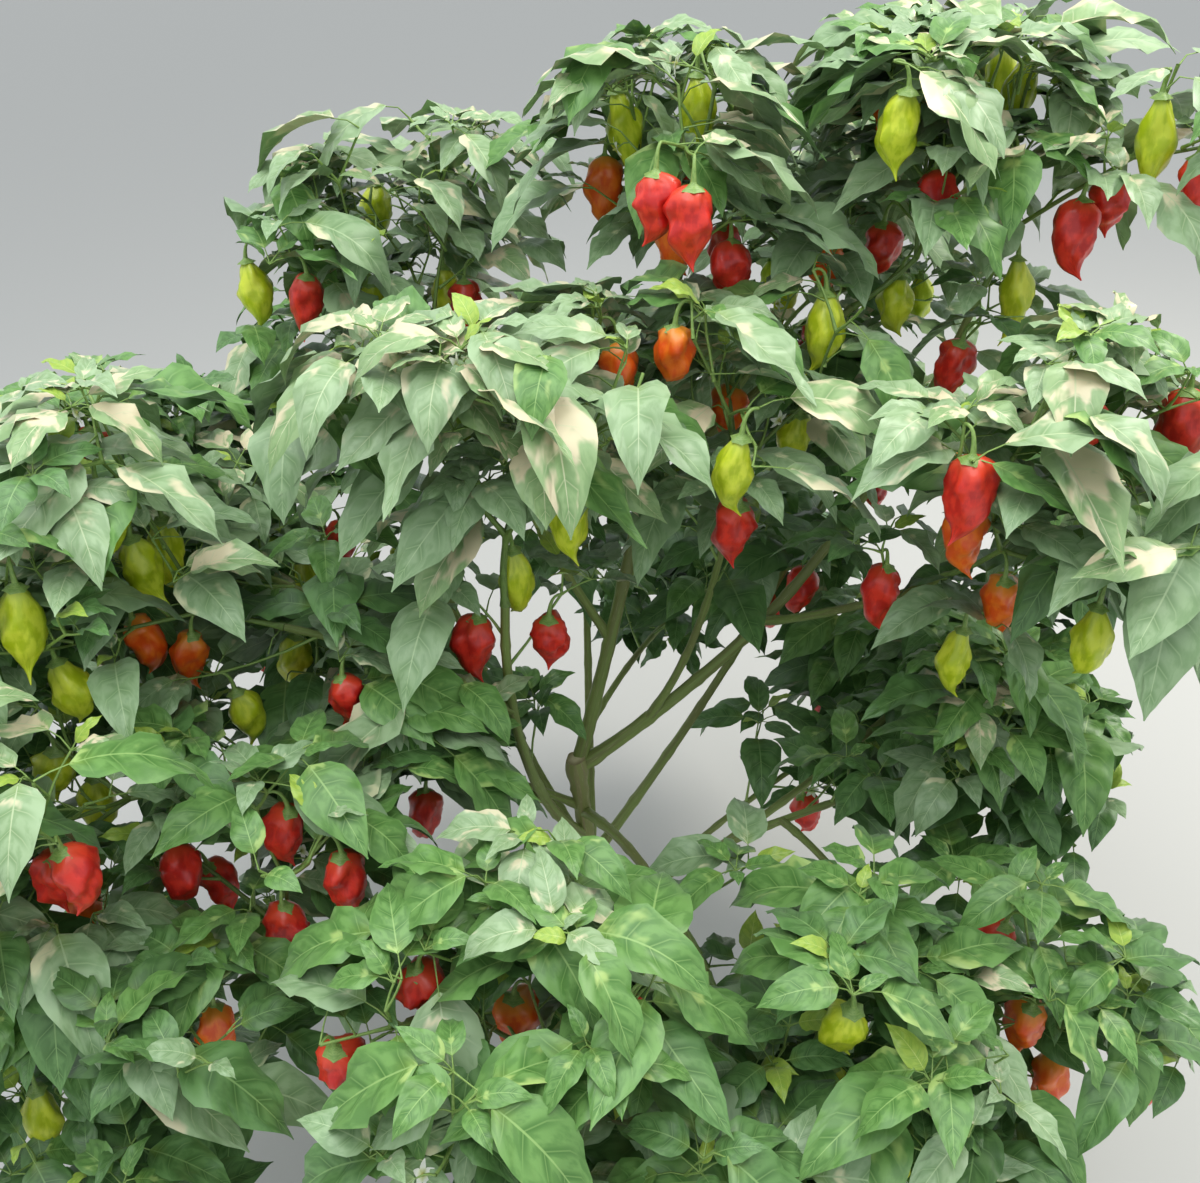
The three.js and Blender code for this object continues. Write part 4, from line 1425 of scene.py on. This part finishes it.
def make_twigs(all_twigs, all_sprigs, leaves, masses):
    """The twigs, which stand for the masses' nodes, and the sprigs with the leaves' petioles."""
    random = random_stream(SEED)
    twigs, sprigs = Piece(), Piece()
    grids = [twig_grid(twig, TWIG_RINGS, TWIG_TUBE_SIDES, random) for twig in all_twigs]
    twigs.add(np.concatenate(grids), wrap=True)
    made = twigs.make("twigs", twig_material("twig_green", OLD_TWIG), "foliage")
    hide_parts(*["foliage_" + mass["part"] for mass in masses])
    grids = [twig_grid(sprig, SPRIG_RINGS, SPRIG_TUBE_SIDES, random) for sprig in all_sprigs]
    sprigs.add(np.concatenate(grids), wrap=True)
    sprigs.add(petiole_grids(leaves), wrap=True)
    sprigs.make("sprigs", twig_material("sprig_green", YOUNG_TWIG), "foliage")


def pod_relief(colour, v, random):
    """The furrows and lumps of a pod, as shares of its radius."""
    turns = turns_round(POD_GRID_SIDES)
    start = POD_PHASE * random()
    sway = FURROW_SWAY[0] * np.sin(FURROW_SWAY[1] * v + POD_PHASE * random())
    fold = np.abs(np.sin(FURROW_WAVES * turns + start + sway))
    relief = -POD_FURROW[colour] * (1 - fold) ** FURROW_POWER
    for size, along, around in POD_WAVES:
        start = POD_PHASE * random()
        wave = np.sin(along * v + start + LUMP_SWAY * np.sin(turns + POD_PHASE * random()))
        wave = wave * np.sin(around * turns + POD_PHASE * random() + LUMP_TWIST * v)
        relief = relief + POD_LUMPS[colour] * size * wave
    first, last = SMOOTH_ENDS
    return relief * np.clip(v / first, 0, 1) * np.clip((1 - v) / last, 0, 1)


def pod_grid(pod, random):
    """A wrinkled pod: shoulders, furrows, lumps and a bent, pointed tail."""
    places, sizes = zip(*POD_OUTLINES[pod["colour"]])
    v = np.linspace(0, 1, POD_RINGS)[:, None]
    radii = pod["radius"] * np.interp(v, places, sizes) * (1 + pod_relief(pod["colour"], v, random))
    across = sideways(pod["down"], 360 * random())
    past = np.clip((v - TAIL_START) / (1 - TAIL_START), 0, 1)
    bend = POD_BOW * np.sin(math.pi * v) - TAIL_BEND * past**2
    points = pod["from"] + (pod["down"] * v + across * bend) * pod["length"]
    return tube(points, radii, POD_GRID_SIDES)


def calyx_grid(pod):
    """The green cap on a pod's shoulders, with a lobed edge."""
    lobes = np.cos(CALYX_LOBES * turns_round(CALYX_SIDES))
    across = sideways(pod["down"], 0)
    ring = ring_of(across, np.cross(across, pod["down"]), CALYX_SIDES)
    rings = []
    for i, (drop, out) in enumerate(CALYX_STEPS):
        lobed = 1 + CALYX_LOBE_DEPTH * i / (len(CALYX_STEPS) - 1) * lobes
        rings.append(pod["from"] + pod["down"] * drop + ring * (pod["radius"] * out * lobed)[:, None])
    return np.array(rings)[None]


def pedicel_grid(pod):
    """The curved stalk from the fork to the calyx, thicker towards the pod."""
    start, end = pod["fork"], pod["from"] - pod["down"] * PEDICEL_ABOVE
    level = (end - start) * np.array([1.0, 1.0, 0.0])
    out, lift = PEDICEL_ARCH
    curve = Curve(start, start + level * out + UP * lift, end)
    shares = np.linspace(0, 1, PEDICEL_RINGS)
    points = np.array([curve.at(t) for t in shares])
    radii = PEDICEL_RADIUS * (1 + PEDICEL_SWELL * shares**3)
    return tube(points, radii[:, None], PEDICEL_SIDES)


def make_pods(pods):
    """The pods, one piece for each colour, and their calyxes and stalks as one more."""
    random = random_stream(SEED)
    for colour in PHOTO_PODS:
        piece = Piece(POD_CELLS)
        grids = [pod_grid(pod, random) for pod in pods if pod["colour"] == colour]
        cell = cells_for(np.arange(len(grids)) * POD_CELL_STEP, POD_CELLS)
        piece.add(np.concatenate(grids), wrap=True, cell=cell)
        piece.make("pods_" + colour, pod_material(colour), "foliage")
    stalks = Piece()
    stalks.add(np.concatenate([calyx_grid(pod) for pod in pods]), wrap=True)
    stalks.add(np.concatenate([pedicel_grid(pod) for pod in pods]), wrap=True)
    stalks.make("pod_stalks", twig_material("stalk_green", YOUNG_TWIG), "foliage")


def petal_grids(centre, axis, turn):
    """A flower's petals, spread out and a little cupped."""
    grids = []
    power, most = PETAL_ROUNDING
    rise, droop = PETAL_CUP
    for number in range(PETALS):
        out = sideways(axis, turn + number * 360 / PETALS)
        side = np.cross(axis, out)
        rows = []
        for t in np.linspace(PETAL_START, 1, PETAL_ROWS):
            half = PETAL_WIDTH / 2 * math.sin(math.pi * min(t**power, most)) + PETAL_LEAST_WIDTH
            rib = centre + out * PETAL_LENGTH * t + axis * PETAL_LENGTH * (rise * t - droop * t * t)
            rows.append([rib - side * half, rib + axis * PETAL_TROUGH, rib + side * half])
        grids.append(rows)
    return np.array(grids)


def make_flowers(mass_tips):
    """Small star flowers that nod near the sprigs' tips."""
    petals, stalks, hearts = Piece(), Piece(), Piece()
    for index, tips in enumerate(mass_tips):
        random = stream_for(FLOWER_SEEDS, index, 1)
        for _ in range(FLOWERS):
            tip = tips[int(random() * len(tips))]
            axis = direction(random() * 360, lerp(*FLOWER_NOD, random()))
            centre = tip + axis * FLOWER_STALK
            points = np.array([tip, lerp(tip, centre, 0.5) + UP * FLOWER_STALK_ARCH, centre])
            stalk_radii = np.full((len(points), 1), FLOWER_STALK_RADIUS)
            stalks.add(tube(points, stalk_radii, FLOWER_STALK_SIDES), wrap=True)
            heart = np.array([centre + axis * along for along, _ in HEART_STEPS])
            heart_radii = np.array([[radius] for _, radius in HEART_STEPS])
            hearts.add(tube(heart, heart_radii, HEART_SIDES), wrap=True)
            petals.add(petal_grids(centre, axis, 360 * random()))
    petals.make("petals", petal_material(), "foliage")
    stalks.make("flower_stalks", twig_material("flower_stalk", YOUNG_TWIG), "foliage")
    hearts.make("flower_hearts", plain_material("flower_heart", HEART_COLOUR, HEART_ROUGHNESS), "foliage")


def new_material(name, roughness):
    """A new material, and its shader."""
    material = bpy.data.materials.new(name)
    material.use_nodes = True
    shader = material.node_tree.nodes["Principled BSDF"]
    shader.inputs["Roughness"].default_value = roughness
    return material, shader


class Nodes:
    """Short calls for a material's nodes; every pattern reads the piece's own map."""

    def __init__(self, name, roughness, cells=1, mirrored=True, **settings):
        self.material, self.shader = new_material(name, roughness)
        self.tree = self.material.node_tree
        for socket, value in settings.items():
            self.shader.inputs[socket.replace("_", " ")].default_value = value
        self.map = self.tree.nodes.new("ShaderNodeUVMap")
        self.map.uv_map = MAP_NAME
        split = self.tree.nodes.new("ShaderNodeSeparateXYZ")
        self.tree.links.new(self.map.outputs[0], split.inputs[0])
        spots = [self.times(output, float(cells)) for output in split.outputs[:2]]
        self.u, self.v = [self.math("FRACT", spot) for spot in spots]
        self.from_middle = self.off_middle(self.u)
        across = self.from_middle if mirrored else self.u
        self.place = self.tree.nodes.new("ShaderNodeCombineXYZ")
        for number, (inside, spot) in enumerate(zip((across, self.v), spots)):
            whole = self.times(self.math("FLOOR", spot), CELL_STEP)
            self.put(self.place.inputs[number], self.plus(inside, whole))

    def put(self, socket, value):
        """Links a node's output to an input, or sets the input."""
        if isinstance(value, bpy.types.NodeSocket):
            self.tree.links.new(value, socket)
        else:
            socket.default_value = value

    def math(self, operation, a, b=0.0):
        """One step of arithmetic."""
        node = self.tree.nodes.new("ShaderNodeMath")
        node.operation = operation
        self.put(node.inputs[0], a)
        self.put(node.inputs[1], b)
        return node.outputs[0]

    def times(self, a, b):
        """One value times another."""
        return self.math("MULTIPLY", a, b)

    def plus(self, a, b):
        """The sum of two values."""
        return self.math("ADD", a, b)

    def off_middle(self, value):
        """How far a value is from 0.5."""
        return self.math("ABSOLUTE", self.math("SUBTRACT", value, 0.5))

    def band(self, value, low, high):
        """0 below low and 1 above high, smooth between; with low above high it falls instead."""
        node = self.tree.nodes.new("ShaderNodeMapRange")
        node.interpolation_type = "SMOOTHSTEP"
        self.put(node.inputs["Value"], value)
        node.inputs["From Min"].default_value = min(low, high)
        node.inputs["From Max"].default_value = max(low, high)
        node.inputs["To Min"].default_value = 0.0 if low < high else 1.0
        node.inputs["To Max"].default_value = 1.0 if low < high else 0.0
        return node.outputs["Result"]

    def noise(self, scale, detail=2.0, stretch=(1.0, 1.0)):
        """Noise over the map; each cell has its own, and a mirrored one meets itself at the seam."""
        grow = self.tree.nodes.new("ShaderNodeVectorMath")
        grow.operation = "MULTIPLY"
        self.tree.links.new(self.place.outputs[0], grow.inputs[0])
        grow.inputs[1].default_value = (*stretch, 1.0)
        node = self.tree.nodes.new("ShaderNodeTexNoise")
        node.noise_dimensions = "2D"
        self.tree.links.new(grow.outputs[0], node.inputs["Vector"])
        node.inputs["Scale"].default_value = scale
        node.inputs["Detail"].default_value = detail
        return node.outputs[0]

    def mix(self, share, a, b):
        """A mix of two colours."""
        node = self.tree.nodes.new("ShaderNodeMix")
        node.data_type = "RGBA"
        self.put(node.inputs["Factor"], share)
        self.put(node.inputs["A"], a)
        self.put(node.inputs["B"], b)
        return node.outputs["Result"]

    def finish(self, colour):
        """The material with its base colour."""
        self.put(self.shader.inputs["Base Color"], colour)
        return self.material


def leaf_material(tone):
    """A leaf's waxy blade: painted shade in the valleys along its pale veins, a mottle, yellower at its
    foot, with bleached patches.
    """
    blade, dark, vein, bleached, least = LEAF_COLOURS[tone]
    nodes = Nodes("leaf_" + tone, LEAF_ROUGHNESS, LEAF_CELLS, False, Sheen_Weight=LEAF_SHEEN)
    from_rib = nodes.from_middle
    from_vein = nodes.off_middle(nodes.math("FRACT", nodes.plus(nodes.times(nodes.v, float(VEINS)), 0.5)))
    # Painted shade: the blade darkens in the valleys along the side veins, most towards the midrib
    valley_shade = nodes.times(nodes.band(from_vein, *VALLEY_SHADE_OFF_VEIN), nodes.band(from_rib, *VALLEY_SHADE_OFF_RIB))
    mottle = nodes.times(nodes.band(nodes.noise(*MOTTLE_NOISE), *MOTTLE_BAND), MOTTLE_SHARE)
    # The darker blade where the painted valley shade or the mottle is stronger
    shade = nodes.math("MAXIMUM", nodes.times(valley_shade, VALLEY_SHADE_SHARE), mottle)
    colour = nodes.mix(shade, blade, dark)
    foot = nodes.band(nodes.plus(nodes.v, nodes.times(from_rib, FOOT_SLANT)), *FOOT_BAND)
    colour = nodes.mix(nodes.times(foot, FOOT_SHARE), colour, LEAF_FOOT)
    if least < 1:
        near_foot = nodes.times(nodes.band(nodes.v, *BLEACH_FOOT_BAND), BLEACH_FOOT)
        patch = nodes.plus(nodes.noise(*BLEACH_NOISE), near_foot)
        colour = nodes.mix(nodes.band(patch, least, least + BLEACH_EDGE), colour, bleached)
    side_vein = nodes.times(nodes.band(from_vein, *VEIN_BAND), nodes.band(from_rib, *VEIN_OFF_RIB))
    colour = nodes.mix(nodes.times(side_vein, VEIN_SHARE), colour, vein)
    return nodes.finish(nodes.mix(nodes.times(nodes.band(from_rib, *RIB_BAND), RIB_SHARE), colour, vein))


def bark_material(name, colours):
    """Green bark with olive-brown streaks and pale flecks."""
    nodes = Nodes(name, BARK_ROUGHNESS)
    streak = nodes.band(nodes.noise(*STREAK_NOISE), *STREAK_BAND)
    fleck = nodes.band(nodes.noise(*FLECK_NOISE), *FLECK_BAND)
    return nodes.finish(nodes.mix(nodes.times(fleck, FLECK_SHARE), nodes.mix(streak, *colours), BARK_FLECK))


def cut_material():
    """The dry, pale cut at the top of the main stem."""
    nodes = Nodes("stem_cut", CUT_ROUGHNESS)
    place = nodes.plus(nodes.v, nodes.times(nodes.noise(*CUT_NOISE), CUT_NOISE_SHARE))
    return nodes.finish(nodes.mix(nodes.band(place, *CUT_BAND), *CUT_COLOURS))


def twig_material(name, colours):
    """Smooth green twigs, petioles and stalks with a faint mottle."""
    nodes = Nodes(name, TWIG_ROUGHNESS)
    return nodes.finish(nodes.mix(nodes.band(nodes.noise(*TWIG_NOISE), *TWIG_BAND), *colours))


def pod_material(colour):
    """A pod's glossy, wrinkled skin."""
    skin, deep, top = POD_COLOURS[colour]
    gloss = {"Coat_Weight": POD_COAT, "Coat_Roughness": POD_COAT_ROUGHNESS}
    nodes = Nodes("pod_" + colour, POD_ROUGHNESS, POD_CELLS, **gloss)
    mixed = nodes.mix(nodes.band(nodes.noise(*POD_NOISE), *POD_BAND), skin, deep)
    return nodes.finish(nodes.mix(nodes.band(nodes.v, *POD_TOP_BAND), mixed, top))


def petal_material():
    """White petals, faintly green towards the heart."""
    nodes = Nodes("petal", PETAL_ROUGHNESS)
    return nodes.finish(nodes.mix(nodes.band(nodes.v, *PETAL_BAND), *PETAL_COLOURS))


def plain_material(name, colour, roughness):
    """A material of one colour."""
    material, shader = new_material(name, roughness)
    shader.inputs["Base Color"].default_value = colour
    return material


def add_camera():
    """The camera at the photo's viewing angle."""
    data = bpy.data.cameras.new("camera")
    data.sensor_width = SENSOR_WIDTH
    data.lens = CAMERA_FOCAL / PHOTO_WIDTH * SENSOR_WIDTH
    data.clip_start = CAMERA_NEAREST
    camera = linked("camera", data)
    camera.location = CAMERA_PLACE
    camera.rotation_euler = (radians(90 - CAMERA_TILT), 0, 0)
    bpy.context.scene.camera = camera


def add_floor():
    """A plain pale floor."""
    half = FLOOR_SIZE / 2
    corners = [(-half, -half, 0), (half, -half, 0), (half, half, 0), (-half, half, 0)]
    mesh = bpy.data.meshes.new("floor")
    mesh.from_pydata(corners, [], [(0, 1, 2, 3)])
    mesh.materials.append(plain_material("floor", FLOOR_COLOUR, FLOOR_ROUGHNESS))
    floor = linked("floor", mesh)


def add_lights():
    """Plain soft studio light."""
    world = bpy.data.worlds.new("studio")
    world.use_nodes = True
    background = world.node_tree.nodes["Background"]
    background.inputs["Color"].default_value = WORLD_COLOUR
    background.inputs["Strength"].default_value = WORLD_STRENGTH
    bpy.context.scene.world = world
    for name, place, size, power, colour in LIGHTS:
        data = bpy.data.lights.new(name, "AREA")
        data.size = size
        data.energy = power
        data.color = colour
        light = linked(name, data)
        light.location = place
        inwards = unit(np.array(PLANT_MIDDLE) - np.array(place))
        outwards = math.atan2(-inwards[0], inwards[1]) + math.pi
        light.rotation_euler = (math.acos(-inwards[2]), 0, outwards)


def open_sights(pods):
    """Lines kept free of leaves: from the photo's pods towards the viewer, and where the crown is open."""
    rows = []
    camera = np.array(CAMERA_PLACE) / METRES
    for pod in pods:
        middle = middle_of(pod)
        rows.append((middle, middle + unit(camera - middle) * SIGHT_LENGTH, SIGHT_RADIUS))
    for column, row in OPEN_PLACES:
        rows.append((*[place_seen(column, row, depth) for depth in OPEN_DEPTHS], OPEN_RADIUS))
    return Spans(rows)


def lay_out_pods(twigs, sprigs, masses, spans):
    """All the pods: the source's, the photo's and a few more; and those of them that the photo shows."""
    pods = []
    for grown, mass in zip(twigs, masses):
        pods += hang_pods(grown, mass, masses, spans)
    for pod in pods:
        pod["off"], pod["colour"] = nearest_photo_pod(pod)
    seen = [pod for pod in pods if pod["off"] < SIGHT_PIXELS]
    forks = [forks_of(grown, finer) for grown, finer in zip(twigs, sprigs)]
    matched = match_photo_pods(sum(forks, []), pods, spans, random_stream(SEED))
    pods += matched
    pods += add_extra_pods(forks, pods, spans)
    return pods, seen + matched


def build_plant(cad_box):
    """The whole plant, laid out first and then made piece by piece."""
    limbs = lay_out_limbs()
    spans = limb_spans(limbs)
    masses = lay_out_masses(limbs)
    low = np.array(cad_box[0]) / METRES
    high = np.array(cad_box[1]) / METRES
    twigs = [grow_twigs(mass, masses, spans) for mass in masses]
    inner = (low, high - UP * SPRIG_BELOW_TOP)
    sprigs = [grow_sprigs(grown, mass, spans, inner) for grown, mass in zip(twigs, masses)]
    for grown, mass in zip(sprigs, masses):
        grown += grow_limb_sprigs(mass, limbs["bough_" + mass["part"]][0], spans, inner)
    pods, seen = lay_out_pods(twigs, sprigs, masses, spans)
    reach = (low - LEAF_BOX_MARGIN, high + LEAF_BOX_MARGIN)
    canopy = Canopy(spans, spans_of(pods), open_sights(seen), reach)
    for grown, finer, mass in zip(twigs, sprigs, masses):
        grow_leaves(canopy, grown, finer, mass)
    kept = [kept_sprigs(grown) for grown in sprigs]
    make_bark(limbs)
    make_twigs(sum(twigs, []), sum(kept, []), canopy.leaves, masses)
    make_leaves(canopy)
    make_pods(pods)
    make_flowers([[sprig["to"] for sprig in grown] for grown in kept])


def as_lists(box):
    """A box as plain lists of numbers."""
    return [[float(x) for x in corner] for corner in box]


add_camera()
cad = as_lists(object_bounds())
build_plant(cad)
add_floor()
add_lights()
bpy.context.scene.view_settings.view_transform = "Standard"
